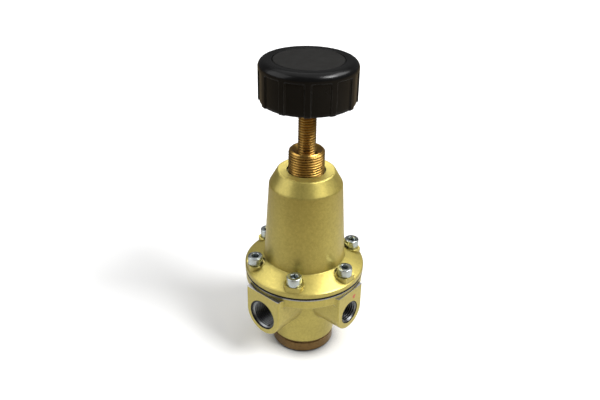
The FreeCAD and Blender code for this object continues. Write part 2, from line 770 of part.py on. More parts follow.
def make_threaded_collar():
    collar = piece("threaded_collar", "collar_foot")
    top = "(collar_top - collar_foot)"
    flange = "(ceiling_height - collar_foot)"
    bore = "(screw_radius + screw_gap)"
    turned(collar, [
        (bore, "0"),
        ("collar_flange_radius", "0"),
        ("collar_flange_radius", flange),
        ("collar_radius", flange),
        ("collar_radius", f"{top} - 1.1"),
        ("collar_radius - 1.1", top),
        ("collar_radius - 1.6", top),
        (f"{bore} + 0.7", f"{top} - 1.8"),
        (bore, f"{top} - 1.8"),
    ])
    return collar


def screw_blank():
    """One bonnet screw, with the underside of its head at the origin."""
    screw = piece("bonnet_screw_blank", "-top_face")
    turned(screw, [
        ("0", "-bolt_length"),
        ("bolt_radius - edge_break", "-bolt_length"),
        ("bolt_radius", "-bolt_length + edge_break"),
        ("bolt_radius", "0"),
        ("head_radius", "0"),
        ("head_radius", "head_height - edge_break"),
        ("head_radius - edge_break", "head_height"),
        ("0", "head_height"),
    ])
    socket = hexagon(screw, "bonnet_screw_socket", "socket_flats", "head_height")
    sunk(screw, socket, "socket_depth")
    return screw


def make_bonnet_screws(blank):
    """The six screws are one group of separate solids."""
    doc.recompute()
    group = doc.addObject("Part::Feature", "bonnet_screws")
    count = int(SIZE["bolt_count"])
    screws = []
    for index in range(count):
        angle = 90 + 360 / count * index
        place = Placement(Vector(), Rotation(Vector(0, 0, 1), angle))
        place.move(place.Rotation.multVec(Vector(SIZE["bolt_circle"], 0, 0)))
        screws.append(blank.Shape.transformed(place.toMatrix()))
    group.Shape = Part.makeCompound(screws)
    group.Placement = Placement(Vector(0, 0, SIZE["top_face"] + SIZE["pad_height"]), Rotation())
    return group


# ---------------------------------------------------------------- body

def boss(body, name, role, half, face):
    """A round-bottomed boss through the body, from one port face to the other."""
    shape = outline(body, name, role, [
        (f"-{half}", "-boss_top"),
        (f"-{half}", "-port_drop", half, 1),
        ("0", f"-port_drop - {half}", half, 1),
        (half, "-port_drop"),
        (half, "-boss_top"),
    ])
    return raised(body, shape, f"2 * {face}", both_sides=True)


def port(body, name, role, side, face, bore, mouth):
    """A chamfered threaded hole on a horizontal axis; side is 1 or -1 along that axis."""
    sign = "" if side > 0 else "-"
    sketch = outline(body, name, role, [
        (f"{sign}({face} - thread_depth)", "-port_drop"),
        (f"{sign}({face} + 1)", "-port_drop"),
        (f"{sign}({face} + 1)", f"-port_drop + {mouth}"),
        (f"{sign}{face}", f"-port_drop + {mouth}"),
        (f"{sign}({face} - {mouth} + {bore})", f"-port_drop + {bore}"),
        (f"{sign}({face} - thread_depth)", f"-port_drop + {bore}"),
    ])
    feature = body.newObject("PartDesign::Groove", f"{name}_groove")
    feature.Profile = sketch
    feature.ReferenceAxis = (sketch, ["Edge1"])
    feature.Angle = 360
    return feature


def passage(body, name, role, height, radius, near, far, reverse):
    """A round passage from near to far along the sketch's normal."""
    sketch = disc(body, name, role, "0", height, radius, near)
    return sunk(body, sketch, f"abs(({far}) - ({near}))", reverse)


def edge_middle(edge):
    """The point half way along an edge's parameter range."""
    return edge.valueAt((edge.FirstParameter + edge.LastParameter) / 2)


def rounded(body, name, radius, wanted):
    """Rounds those edges of the body's tip that wanted(edge) picks."""
    doc.recompute()
    base = body.Tip
    picked = [f"Edge{i}" for i, edge in enumerate(base.Shape.Edges, start=1) if wanted(edge)]
    feature = body.newObject("PartDesign::Fillet", name)
    feature.Base = (base, picked)
    set_size(feature, "Radius", radius)
    body.Tip = feature
    return feature


def on_flange_foot(point):
    """Whether a point lies in the plane of the flange's underside."""
    return abs(point.z + SIZE["body_rim_drop"]) < 0.01


def is_inner_corner(edge):
    """Corners where bosses, barrel and flange meet."""
    middle = edge_middle(edge)
    across = math.hypot(middle.x, middle.y)
    rim = SIZE["body_rim_radius"]
    deepest = -SIZE["port_drop"] - SIZE["line_boss"]
    on_barrel = abs(across - SIZE["barrel_radius"]) < 1 and middle.z > deepest - 1
    under_flange = on_flange_foot(middle) and across < rim - 0.5
    beside_boss = abs(across - rim) < 0.01 and isinstance(edge.Curve, Part.Line)
    return on_barrel or under_flange or beside_boss


def is_outer_corner(edge):
    """Edges round the port faces, below the machined boss tops, and the flange's lower edge."""
    middle = edge_middle(edge)
    across = math.hypot(middle.x, middle.y)
    on_face = any(abs(abs(place) - face) < 0.01 for place, face in
                  ((middle.x, SIZE["line_face"]), (middle.y, SIZE["gauge_face"])))
    below_top = middle.z < -SIZE["boss_top"] - 0.1
    flange_edge = on_flange_foot(middle) and across > SIZE["body_rim_radius"] - 1.5
    return on_face and below_top or flange_edge and edge.Length > 5


def make_body():
    body = piece("body")
    turned(body, [
        ("0", "-barrel_foot"),
        ("barrel_radius", "-barrel_foot"),
        ("barrel_radius", "-body_rim_drop"),
        ("body_rim_radius", "-body_rim_drop"),
        ("body_rim_radius", "0"),
        ("0", "0"),
    ])
    boss(body, "line_boss", "YZ_Plane", "line_boss", "line_face")
    boss(body, "gauge_boss", "XZ_Plane", "gauge_boss", "gauge_face")
    rounded(body, "body_inner_rounding", "casting_fillet", is_inner_corner)
    rounded(body, "body_outer_rounding", "casting_edge", is_outer_corner)
    grooved(body, [
        ("0", "1"),
        ("0", "-seat_web_top"),
        ("outlet_radius", "-seat_web_top"),
        ("outlet_radius", "-baffle_top - baffle_thickness"),
        ("baffle_radius", "-baffle_top - baffle_thickness"),
        ("baffle_radius", "-chamber_depth"),
        ("chamber_radius", "-chamber_depth"),
        ("chamber_radius", "1"),
    ], "upper_cavity")
    grooved(body, [
        ("0", "-seat_web_top + 1"),
        ("0", "-barrel_foot - 1"),
        ("plug_thread", "-barrel_foot - 1"),
        ("plug_thread", "-plug_thread_top"),
        ("inlet_radius", "-plug_thread_top + 1"),
        ("inlet_radius", "-seat_web_foot"),
        ("seat_radius", "-seat_web_foot"),
        ("seat_radius", "-seat_web_top + 1"),
    ], "lower_cavity")
    for side, word in ((1, "outlet"), (-1, "inlet")):
        port(body, f"{word}_port", "XZ_Plane", side, "line_face", "line_bore", "line_mouth")
    for side, word in ((1, "rear"), (-1, "front")):
        port(body, f"{word}_gauge_port", "YZ_Plane", side,
             "gauge_face", "gauge_bore", "gauge_mouth")
    inner = f"(line_face - thread_depth + {SUNK_IN})"
    passage(body, "outlet_passage", "YZ_Plane", "-outlet_passage_drop",
            "outlet_passage_radius", "outlet_radius - 1", inner, True)
    passage(body, "inlet_passage", "YZ_Plane", "-inlet_passage_drop",
            "inlet_passage_radius", "-(inlet_radius - 1)", f"-{inner}", False)
    deep = f"(gauge_face - thread_depth + {SUNK_IN})"
    passage(body, "rear_gauge_passage", "XZ_Plane", "-gauge_passage_drop",
            "gauge_passage_radius", "-(outlet_radius - 1)", f"-{deep}", False)
    passage(body, "front_gauge_passage", "XZ_Plane", "-gauge_passage_drop",
            "gauge_passage_radius", "outlet_radius - 1", deep, True)
    hole = disc(body, "body_bolt_hole", "XY_Plane", *FIRST_BOLT, "bolt_radius")
    around(body, sunk(body, hole, "bolt_hole_depth"), "bolt_count")
    return body


def make_baffle_plate():
    plate = piece("baffle_plate", "-baffle_top - baffle_thickness")
    turned(plate, [
        ("stem_radius + stem_gap", "0"),
        ("baffle_radius", "0"),
        ("baffle_radius", "baffle_thickness"),
        ("stem_radius + stem_gap", "baffle_thickness"),
    ])
    hole = disc(plate, "baffle_hole", "XY_Plane", "tube_offset", "0", "tube_radius")
    sunk(plate, hole, "baffle_thickness", reverse=True)
    return plate


def make_aspirator_tube():
    """A bent tube from the baffle plate into the outlet passage."""
    tube = piece("aspirator_tube", "-baffle_top")
    path = new_sketch(tube, "aspirator_path", "XZ_Plane")
    x = SIZE["tube_offset"]
    bend = SIZE["tube_bend"]
    drop = SIZE["tube_drop"]
    top = Vector(x, 0, 0)
    elbow = Vector(x, -drop + bend, 0)
    level = Vector(x + bend, -drop, 0)
    path.addGeometry(Part.LineSegment(top, elbow), False)
    path.addGeometry(arc_between(elbow, level, bend, 1), False)
    path.addGeometry(Part.LineSegment(level, level + Vector(SIZE["tube_reach"], 0, 0)), False)
    path.addConstraint(Sketcher.Constraint("Coincident", 0, 2, 1, 1))
    path.addConstraint(Sketcher.Constraint("Coincident", 1, 2, 2, 1))
    rings = new_sketch(tube, "aspirator_section", "XY_Plane")
    for radius in ("tube_radius", "tube_bore"):
        circle = Part.Circle(top, Vector(0, 0, 1), SIZE[radius])
        index = rings.addGeometry(circle, False)
        pin_point(rings, index, 3, "tube_offset", "0")
        held = rings.addConstraint(Sketcher.Constraint("Radius", index, SIZE[radius]))
        set_size(rings, f"Constraints[{held}]", radius)
    pipe = tube.newObject("PartDesign::AdditivePipe", "aspirator_pipe")
    pipe.Profile = rings
    pipe.Spine = (path, ["Edge1", "Edge2", "Edge3"])
    return tube


def make_valve_seat():
    seat = piece("valve_seat", "-seat_lip")
    web = "(seat_lip - seat_web_foot)"
    turned(seat, [
        ("seat_bore", "0"),
        ("seat_bore + 0.8", "0"),
        ("seat_bore + 1.4", "1"),
        ("seat_radius + 1.5", "1"),
        ("seat_radius + 1.5", web),
        ("seat_radius", web),
        ("seat_radius", "seat_lip - seat_web_top"),
        ("seat_bore", "seat_lip - seat_web_top"),
    ])
    return seat


# ---------------------------------------------------------------- bottom plug

def make_bottom_plug():
    plug = piece("bottom_plug", "-top_face")
    head = "(top_face - barrel_foot - gasket_thickness)"
    guide = "(guide_radius + stem_gap)"
    ring = "(top_face - ring_drop)"
    turned(plug, [
        ("0", "0"),
        ("plug_radius - plug_chamfer", "0"),
        ("plug_radius", "plug_chamfer"),
        ("plug_radius", f"{head} - 3 * plug_groove"),
        ("plug_radius - plug_groove", f"{head} - 2.4 * plug_groove"),
        ("plug_radius - plug_groove", f"{head} - 1.6 * plug_groove"),
        ("plug_radius", f"{head} - plug_groove"),
        ("plug_radius", head),
        ("plug_thread", head),
        ("plug_thread", "top_face - plug_thread_top - 1"),
        ("plug_pocket_radius", "top_face - plug_thread_top - 1"),
        ("plug_pocket_radius", "top_face - plug_pocket_floor"),
        ("guide_boss_radius", "top_face - plug_pocket_floor"),
        ("guide_boss_radius", "top_face - guide_boss_top"),
        (guide, "top_face - guide_boss_top"),
        (guide, f"{ring} + 1"),
        ("guide_radius + 2 * ring_cord + 0.04", f"{ring} + 1"),
        ("guide_radius + 2 * ring_cord + 0.04", f"{ring} - 1"),
        (guide, f"{ring} - 1"),
        (guide, "top_face - stem_foot - 2"),
        ("0", "top_face - stem_foot - 2"),
    ])
    spanner = disc(plug, "plug_spanner_hole", "XY_Plane", "0", "spanner_offset",
                   "spanner_radius")
    around(plug, sunk(plug, spanner, "spanner_depth", reverse=True), "2")
    return plug


def make_plug_gasket():
    gasket = piece("plug_gasket", "-barrel_foot - gasket_thickness")
    turned(gasket, [
        ("plug_thread", "0"),
        ("plug_radius - plug_groove", "0"),
        ("plug_radius - plug_groove", "gasket_thickness"),
        ("plug_thread", "gasket_thickness"),
    ])
    return gasket


def make_stem_o_ring():
    ring = doc.addObject("Part::Torus", "stem_o_ring")
    set_size(ring, "Radius1", "guide_radius + ring_cord + 0.02")
    set_size(ring, "Radius2", "ring_cord")
    set_size(ring, "Placement.Base.z", "top_face - ring_drop")
    return ring


# ---------------------------------------------------------------- build and write

blank = screw_blank()
PIECES = [
    make_body(),
    make_bonnet(),
    make_threaded_collar(),
    make_diaphragm(),
    make_bonnet_screws(blank),
    make_baffle_plate(),
    make_aspirator_tube(),
    make_valve_seat(),
    make_bottom_plug(),
    make_plug_gasket(),
    make_stem_o_ring(),
    make_knob(),
    make_knob_cap(),
    make_knob_screw(),
    make_knob_washer(),
    make_adjusting_screw(),
    make_spindle_stop_ring(),
    make_thrust_ball(),
    make_spring_button(),
    make_main_spring(),
    make_spring_plate(),
    make_diaphragm_washer(),
    make_relief_stud(),
    make_diaphragm_nut(),
    make_valve_stem(),
    make_valve_seal(),
    make_valve_disc(),
    make_stem_nut(),
    make_valve_spring(),
]
doc.recompute()

faults = [thing.Name for thing in doc.Objects if {"Invalid", "Error"} & set(thing.State)]
if faults:
    raise SystemExit(f"objects that failed to build: {faults}")
for thing in PIECES:
    if thing.Shape.isNull() or not thing.Shape.isValid():
        raise SystemExit(f"{thing.Label} has no valid shape")

os.makedirs("parts", exist_ok=True)
for thing in PIECES:
    thing.Shape.exportStep(f"parts/{thing.Label}.step")
    print(f"{thing.Label:20s} {len(thing.Shape.Solids)} solid(s) {thing.Shape.Volume:10.1f} mm3")
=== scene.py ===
import math
import random

import bmesh
import bpy
from mathutils import Matrix, Vector


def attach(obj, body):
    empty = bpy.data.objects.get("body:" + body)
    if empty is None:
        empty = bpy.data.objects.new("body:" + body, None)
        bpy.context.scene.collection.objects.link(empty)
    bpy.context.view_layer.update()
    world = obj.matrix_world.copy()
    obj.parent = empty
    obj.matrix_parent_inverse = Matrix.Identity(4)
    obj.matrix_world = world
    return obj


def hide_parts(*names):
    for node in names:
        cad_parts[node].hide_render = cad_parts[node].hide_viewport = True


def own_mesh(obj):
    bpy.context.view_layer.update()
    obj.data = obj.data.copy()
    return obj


# Air pressure regulator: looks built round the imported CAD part.
# Sizes below are millimetres in the CAD part's frame: Z up along the adjusting screw,
# with z = 0 at the bottom plug's lower face. MM turns them into metres.

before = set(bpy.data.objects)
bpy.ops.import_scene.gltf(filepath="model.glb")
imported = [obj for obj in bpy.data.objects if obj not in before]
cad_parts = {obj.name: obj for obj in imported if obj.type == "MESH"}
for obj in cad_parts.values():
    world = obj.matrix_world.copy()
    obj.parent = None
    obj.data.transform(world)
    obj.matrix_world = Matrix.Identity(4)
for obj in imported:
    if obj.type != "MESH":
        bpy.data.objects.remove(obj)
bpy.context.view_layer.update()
random.seed(7)

# ---------------------------------------------------------------- driving dimensions

MM = 0.001
TOP_FACE = 52.4
PORT_Z = TOP_FACE - 17.0
LINE_FACE, LINE_BORE, LINE_MINOR, LINE_MOUTH = 36.0, 8.33, 7.475, 8.95
GAUGE_FACE, GAUGE_BORE, GAUGE_MINOR, GAUGE_MOUTH = 35.3, 6.58, 5.725, 7.0
THREAD_DEPTH, PIPE_PITCH = 12.0, 1.337
BODY_RIM, LEDGE_DROP, LIP_DEPTH = 34.6, 2.2, 0.95
INNER_RADIUS, INNER_HALF, BOSS_START = 17.5, 18.5, 30.0

KNOB_FOOT, KNOB_HEIGHT, KNOB_RADIUS = TOP_FACE + 103.9, 22.0, 26.0
KNOB_RIM, KNOB_SHOULDER, RIB_COUNT, KNOB_TURN = 21.9, 3.4, 12, 25.0
RIB_HALF_ANGLE = 3.0
PANEL_DEPTH, PANEL_TOP, PANEL_CORNER, PANEL_RUN = 0.8, 17.6, 1.2, 0.75
WEB_COUNT, WEB_HALF, WEB_DEPTH = 6, 0.8, 6.0
FILLET, BREAK = 0.8, 0.25
SKIRT, WEB_FOOT, HUB, HUB_FOOT, HUB_FLOOR = 23.0, 16.2, 9.0, 2.2, 15.5
RECESS, RECESS_DEPTH, POCKET = 18.9, 1.8, 7.0
CAP_RADIUS, CAP_CROWN = 18.5, 0.9

COLLAR_FOOT, COLLAR_TOP, COLLAR_RADIUS = TOP_FACE + 50.0, TOP_FACE + 76.2, 10.0
CEILING, COLLAR_FLANGE = TOP_FACE + 54.0, 13.0
SCREW_FOOT, SCREW_RADIUS, DRIVE_FLATS = TOP_FACE + 45.6, 4.95, 8.0
CLIP_FOOT, CLIP_GROOVE, CLIP_WIDTH = TOP_FACE + 48.6, 4.0, 1.0
BALL_RADIUS, BALL_Z = 3.175, TOP_FACE + 44.6
METRIC_PITCH, SPINDLE_THREAD, COLLAR_THREAD = 1.5, 0.92, 0.85

BOLT_CIRCLE, BOLT_COUNT, BOLT_LENGTH, BOLT_RADIUS, BOLT_GAP = 30.0, 6, 12.0, 2.5, 0.25
HEAD_RADIUS, HEAD_HEIGHT, SOCKET_FLATS, SOCKET_DEPTH = 4.25, 5.0, 4.0, 2.6
PAD_TOP = TOP_FACE + 7.5

SPRING_FOOT, SPRING_LENGTH, SPRING_RADIUS, SPRING_WIRE = TOP_FACE + 3.2, 35.0, 11.5, 1.5
VALVE_FOOT, VALVE_LENGTH, VALVE_RADIUS, VALVE_WIRE = TOP_FACE - 46.0, 22.0, 7.6, 0.6

DIAPHRAGM_RADIUS, SHEET, ROLL_RISE, ROLL_MARGIN = 35.0, 1.2, 1.7, 1.2
PLATE_RADIUS, CHAMBER_RADIUS, STUD_RADIUS = 17.0, 26.0, 4.0

# ---------------------------------------------------------------- mesh helpers


def even_angles(count):
    """Angles round a full turn."""
    return [2 * math.pi * i / count for i in range(count)]


def ring(angles, radius, height):
    """A round row."""
    return [(radius, height)] * len(angles)


def hexagon(angles, flats, height, turn=0.0):
    """A hexagonal row, flats across, turned by an angle."""
    row = []
    for angle in angles:
        inside = (angle - turn + math.pi / 6) % (math.pi / 3) - math.pi / 6
        row.append((flats / 2 / math.cos(inside), height))
    return row


def rings(angles, corners):
    """Round rows as one band."""
    return [ring(angles, radius, height) for radius, height in corners], 0


def arc(start, end, radius, turn, steps):
    """Points on the short arc from start to end, ends included; turn is 1 for anticlockwise."""
    first, last = Vector(start), Vector(end)
    chord = last - first
    rise = math.sqrt(max(radius ** 2 - (chord.length / 2) ** 2, 0.0))
    side = Vector((-chord.y, chord.x)).normalized() * turn
    centre = (first + last) / 2 + side * rise
    begin = math.atan2(first.y - centre.y, first.x - centre.x)
    finish = math.atan2(last.y - centre.y, last.x - centre.x)
    sweep = (finish - begin + math.pi) % (2 * math.pi) - math.pi
    return [(centre.x + radius * math.cos(begin + sweep * i / steps),
             centre.y + radius * math.sin(begin + sweep * i / steps)) for i in range(steps + 1)]


THREAD_SHAPE = ((0.0, 0.0), (0.11, 0.0), (0.17, 0.09), (0.30, 0.5), (0.43, 0.92),
                (0.50, 1.0), (0.62, 1.0), (0.69, 0.92), (0.81, 0.5), (0.94, 0.09))


def thread(angles, crest, depth, pitch, low, high, limit=None):
    """A helical thread as one band of rows that climb one pitch a turn, cut flat at low and high.

    depth is positive for an outside thread and negative for an inside one. limit(height) caps
    the radius where the end of the thread is chamfered.
    """
    lead = len(THREAD_SHAPE)
    turns = math.ceil((high - low) / pitch) + 3
    rows = []
    for index in range(lead * turns + 1):
        row = []
        for angle in angles:
            phase = THREAD_SHAPE[index % lead][0] + index // lead + angle / (2 * math.pi) - 1
            height = min(max(low + phase * pitch, low), high)
            place = ((height - low) / pitch - angle / (2 * math.pi)) % 1.0
            radius = crest - depth * thread_share(place)
            if limit is not None:
                radius = min(radius, limit(height)) if depth > 0 else max(radius, limit(height))
            row.append((radius, height))
        rows.append(row)
    return rows, lead


def thread_share(place):
    """Depth share of the thread at a place within one pitch."""
    for index, after in enumerate(THREAD_SHAPE):
        if place < after[0]:
            before = THREAD_SHAPE[index - 1]
            return before[1] + (after[1] - before[1]) * (place - before[0]) / (after[0] - before[0])
    last = THREAD_SHAPE[-1]
    return last[1] * (1 - (place - last[0]) / (1 - last[0]))


def spun(angles, bands):
    """Points and faces of a closed skin: bands of rows joined in order, and the last to the first."""
    count = len(angles)
    points = []
    faces = []
    starts = []
    for rows, _ in bands:
        starts.append(len(points))
        for row in rows:
            for angle, (radius, height) in zip(angles, row):
                points.append((radius * math.cos(angle), radius * math.sin(angle), height))
    for (rows, lead), start in zip(bands, starts):
        for i in range(len(rows) - 1):
            for j in range(count):
                here = start + i * count + j
                beside = start + i * count + j + 1
                if j == count - 1:
                    if i + lead + 1 >= len(rows):
                        continue
                    beside = start + (i + lead) * count
                faces.append((here, beside, beside + count, here + count))
    for number, (rows, _) in enumerate(bands):
        top = starts[number] + (len(rows) - 1) * count
        after = starts[(number + 1) % len(bands)]
        for j in range(count):
            k = (j + 1) % count
            faces.append((top + j, top + k, after + k, after + j))
    return points, faces


def box_skin(low, high, turn):
    """Points and faces of a box, turned about the Z axis."""
    corners = [(x, y, z) for x in (low[0], high[0]) for y in (low[1], high[1])
               for z in (low[2], high[2])]
    points = [tuple(Matrix.Rotation(turn, 3, "Z") @ Vector(corner)) for corner in corners]
    faces = [(0, 1, 3, 2), (4, 6, 7, 5), (0, 4, 5, 1), (2, 3, 7, 6), (0, 2, 6, 4), (1, 5, 7, 3)]
    return points, faces


def piece(name, skins, body, material, replaced=(), places=(Matrix(),), sharp=35.0):
    """One object made from closed skins in millimetres, copied to each place, riding on a CAD body."""
    skin_mesh = bmesh.new()
    for place in places:
        for points, faces in skins:
            corners = [skin_mesh.verts.new((place @ Vector(point)) * MM) for point in points]
            for face in faces:
                used = [corners[i] for i in dict.fromkeys(face)]
                skin_mesh.faces.new(used)
    bmesh.ops.remove_doubles(skin_mesh, verts=skin_mesh.verts, dist=2e-7)
    bmesh.ops.dissolve_degenerate(skin_mesh, edges=skin_mesh.edges, dist=1e-8)
    bmesh.ops.recalc_face_normals(skin_mesh, faces=skin_mesh.faces)
    for face in skin_mesh.faces:
        face.smooth = True
    mesh = bpy.data.meshes.new(name)
    skin_mesh.to_mesh(mesh)
    skin_mesh.free()
    mesh.set_sharp_from_angle(angle=math.radians(sharp))
    mesh.materials.append(material)
    thing = bpy.data.objects.new(name, mesh)
    bpy.context.scene.collection.objects.link(thing)
    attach(thing, body)
    if replaced:
        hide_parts(*replaced)
    return thing


def coil_skin(foot, length, radius, wire, turns, steps=40, sides=16):
    """Points and faces of a spring with ground ends; its wire overshoots both ends and is cut flat."""
    points = []
    faces = []
    count = int(steps * turns)
    for i in range(count + 1):
        angle = 2 * math.pi * turns * i / count
        height = foot - wire / 2 + (length + wire) * i / count
        for j in range(sides):
            lean = 2 * math.pi * j / sides
            reach = radius + wire * math.cos(lean)
            level = min(max(height + wire * math.sin(lean), foot), foot + length)
            points.append((reach * math.cos(angle), reach * math.sin(angle), level))
    for i in range(count):
        for j in range(sides):
            k = (j + 1) % sides
            faces.append((i * sides + j, i * sides + k, (i + 1) * sides + k, (i + 1) * sides + j))
    faces.append(tuple(range(sides - 1, -1, -1)))
    faces.append(tuple(count * sides + j for j in range(sides)))
    return points, faces


# ---------------------------------------------------------------- material helpers


def add(tree, kind, inputs=None, **settings):
    """A shader node; inputs holds numbers, colours or sockets to link from."""
    made = tree.nodes.new(kind)
    for key, value in settings.items():
        setattr(made, key, value)
    for key, value in (inputs or {}).items():
        if isinstance(value, bpy.types.NodeSocket):
            tree.links.new(value, made.inputs[key])
        else:
            made.inputs[key].default_value = value
    return made


def blank(name):
    """A material with its tree, its Principled node and object coordinates."""
    material = bpy.data.materials.new(name)
    material.use_nodes = True
    tree = material.node_tree
    where = add(tree, "ShaderNodeTexCoord").outputs["Object"]
    return material, tree, tree.nodes["Principled BSDF"], where


def noise(tree, where, size, detail=3.0, rough=0.55):
    """Noise from 0 to 1 with features of a size in millimetres."""
    return add(tree, "ShaderNodeTexNoise",
               {"Vector": where, "Scale": 1 / (size * MM), "Detail": detail, "Roughness": rough}
               ).outputs["Fac"]


def remap(tree, value, low, high, to_low, to_high):
    """Carries a value from one range to another, held at both ends."""
    return add(tree, "ShaderNodeMapRange",
               {"Value": value, "From Min": low, "From Max": high,
                "To Min": to_low, "To Max": to_high}).outputs["Result"]


def blend(tree, share, first, second):
    """A colour between two, by share."""
    made = add(tree, "ShaderNodeMix", data_type="RGBA")
    for socket, value in ((made.inputs[0], share), (made.inputs[6], first), (made.inputs[7], second)):
        if isinstance(value, bpy.types.NodeSocket):
            tree.links.new(value, socket)
        else:
            socket.default_value = value
    return made.outputs[2]


def maths(tree, kind, first, second=0.0):
    """One arithmetic step on numbers or sockets."""
    return add(tree, "ShaderNodeMath", {0: first, 1: second}, operation=kind).outputs[0]


def both(tree, first, second):
    """The product of two values, which for two shares is 1 only where both are 1."""
    return maths(tree, "MULTIPLY", first, second)


def beyond(tree, length, limit):
    """1 where a length is over a limit in millimetres."""
    return maths(tree, "GREATER_THAN", length, limit * MM)


def within(tree, length, limit):
    """1 where a length is under a limit in millimetres."""
    return maths(tree, "LESS_THAN", length, limit * MM)


def size_of(tree, value):
    """A value without its sign."""
    return maths(tree, "ABSOLUTE", value)


def from_axis(tree, first, second):
    """Distance from an axis, from the two coordinates across it."""
    squares = [both(tree, side, side) for side in (first, second)]
    return maths(tree, "SQRT", maths(tree, "ADD", *squares))


def bump(tree, height, depth, strength=1.0, normal=None):
    """A bump of a depth in millimetres."""
    inputs = {"Height": height, "Distance": depth * MM, "Strength": strength}
    if normal is not None:
        inputs["Normal"] = normal
    return add(tree, "ShaderNodeBump", inputs).outputs["Normal"]


def soft_edges(tree, radius):
    """A shading normal that rounds edges by a radius in millimetres."""
    return add(tree, "ShaderNodeBevel", {"Radius": radius * MM}, samples=4).outputs["Normal"]


def tone(colour, share):
    """A colour scaled by share, with alpha."""
    return tuple(min(part * share, 1.0) for part in colour) + (1.0,)


def openness(tree, reach):
    """1 on open surfaces, falling to 0 where other surfaces within reach millimetres shut them in."""
    return add(tree, "ShaderNodeAmbientOcclusion", {"Distance": reach * MM}, samples=4).outputs["AO"]


def painted_crevice_shade(tree, colour, reach, floor):
    """Painted shade: a colour that darkens to a share, floor, where other surfaces lie within reach
    millimetres.
    """
    return blend(tree, remap(tree, openness(tree, reach), 0.25, 0.9, floor, 1.0), (0, 0, 0, 1), colour)


def set_inputs(shader, tree, **values):
    """Sets or links Principled inputs; underscores stand for spaces."""
    for key, value in values.items():
        socket = shader.inputs[key.replace("_", " ")]
        if isinstance(value, bpy.types.NodeSocket):
            tree.links.new(value, socket)
        else:
            socket.default_value = value


def metal(name, colour, rough, grain, grain_depth, lines=0.0, stain=None, edge=0.12,
          shut_in=0.0):
    """Machined metal: patchy tone, patchy roughness, fine grain and turned lines, with painted shade
    in its hollows where shut_in is set.
    """
    material, tree, shader, where = blank(name)
    patches = noise(tree, where, 4.0, 4.0)
    base = blend(tree, remap(tree, patches, 0.3, 0.7, 0, 1), tone(colour, 0.86), tone(colour, 1.1))
    if stain is not None:
        spots = remap(tree, noise(tree, where, 1.3, 6.0, 0.7), 0.50, 0.68, 0, 0.8)
        base = blend(tree, spots, base, stain + (1.0,))
    # painted shade: the colour darkens where other surfaces lie within shut_in millimetres
    if shut_in:
        base = painted_crevice_shade(tree, base, shut_in, 0.12)
    fine = noise(tree, where, grain, 2.0)
    normal = soft_edges(tree, edge) if edge else None
    normal = bump(tree, fine, grain_depth, 0.6, normal)
    if lines:
        turned = add(tree, "ShaderNodeTexWave",
                     {"Vector": where, "Scale": 0.5 / (lines * MM), "Distortion": 1.5, "Detail": 2.0},
                     wave_type="RINGS", rings_direction="Z").outputs["Fac"]
        normal = bump(tree, turned, lines * 0.08, 0.35, normal)
    set_inputs(shader, tree, Base_Color=base, Metallic=1.0, Normal=normal,
               Roughness=remap(tree, patches, 0.3, 0.7, rough * 0.8, rough * 1.25))
    return material


def edge_share(tree, radius):
    """1 along sharp edges, within a radius in millimetres, and 0 on open faces."""
    flat = add(tree, "ShaderNodeNewGeometry").outputs["Normal"]
    likeness = add(tree, "ShaderNodeVectorMath", {0: soft_edges(tree, radius), 1: flat},
                   operation="DOT_PRODUCT").outputs["Value"]
    return remap(tree, likeness, 0.995, 0.93, 0, 1)


def plastic(name, colour, rough, grain, grain_depth, worn, shine, edge_highlight_tone):
    """Moulded plastic: fine grain, faint dust, a painted highlight that lightens the edges, painted
    shade in the hollows and slightly uneven sheen.
    """
    material, tree, shader, where = blank(name)
    dust = remap(tree, noise(tree, where, 6.0, 8.0, 0.7), 0.45, 0.8, 0, worn)
    base = blend(tree, dust, tone(colour, 1.0), (0.16, 0.16, 0.155, 1.0))
    # painted highlight: sharp edges are lightened, unevenly along their length, for the lamps'
    # reflection on the rib flanks
    painted_edge_highlight = both(tree, edge_share(tree, 0.45),
                  remap(tree, noise(tree, where, 3.0, 4.0), 0.35, 0.65, 0.35, 1.0))
    base = blend(tree, painted_edge_highlight, base, tone((1, 1, 1), edge_highlight_tone))
    # painted shade in grooves and gaps, such as round the insert disc
    base = painted_crevice_shade(tree, base, 1.0, 0.1)
    normal = bump(tree, noise(tree, where, grain, 3.0), grain_depth)
    sheen = noise(tree, where, 9.0, 4.0)
    set_inputs(shader, tree, Base_Color=base, Normal=normal, Specular_IOR_Level=shine,
               Roughness=remap(tree, sheen, 0.3, 0.7, rough * 0.85, rough * 1.15))
    return material


def rubber_material():
    material, tree, shader, where = blank("rubber_black")
    speck = remap(tree, noise(tree, where, 0.8, 6.0), 0.55, 0.75, 0, 0.35)
    base = blend(tree, speck, (0.006, 0.005, 0.004, 1), (0.035, 0.030, 0.024, 1))
    set_inputs(shader, tree, Base_Color=base, Roughness=0.72, Specular_IOR_Level=0.2,
               Normal=bump(tree, noise(tree, where, 0.35), 0.03))
    return material


PAINT, PAINT_METALLIC = (0.47, 0.39, 0.098), 0.72
COAT, COAT_ROUGH = 0.18, 0.25
BARE = (0.40, 0.40, 0.40)
RED, RED_DOT = (0.55, 0.07, 0.06, 1), (3.4, -GAUGE_FACE, PORT_Z + 9.7)


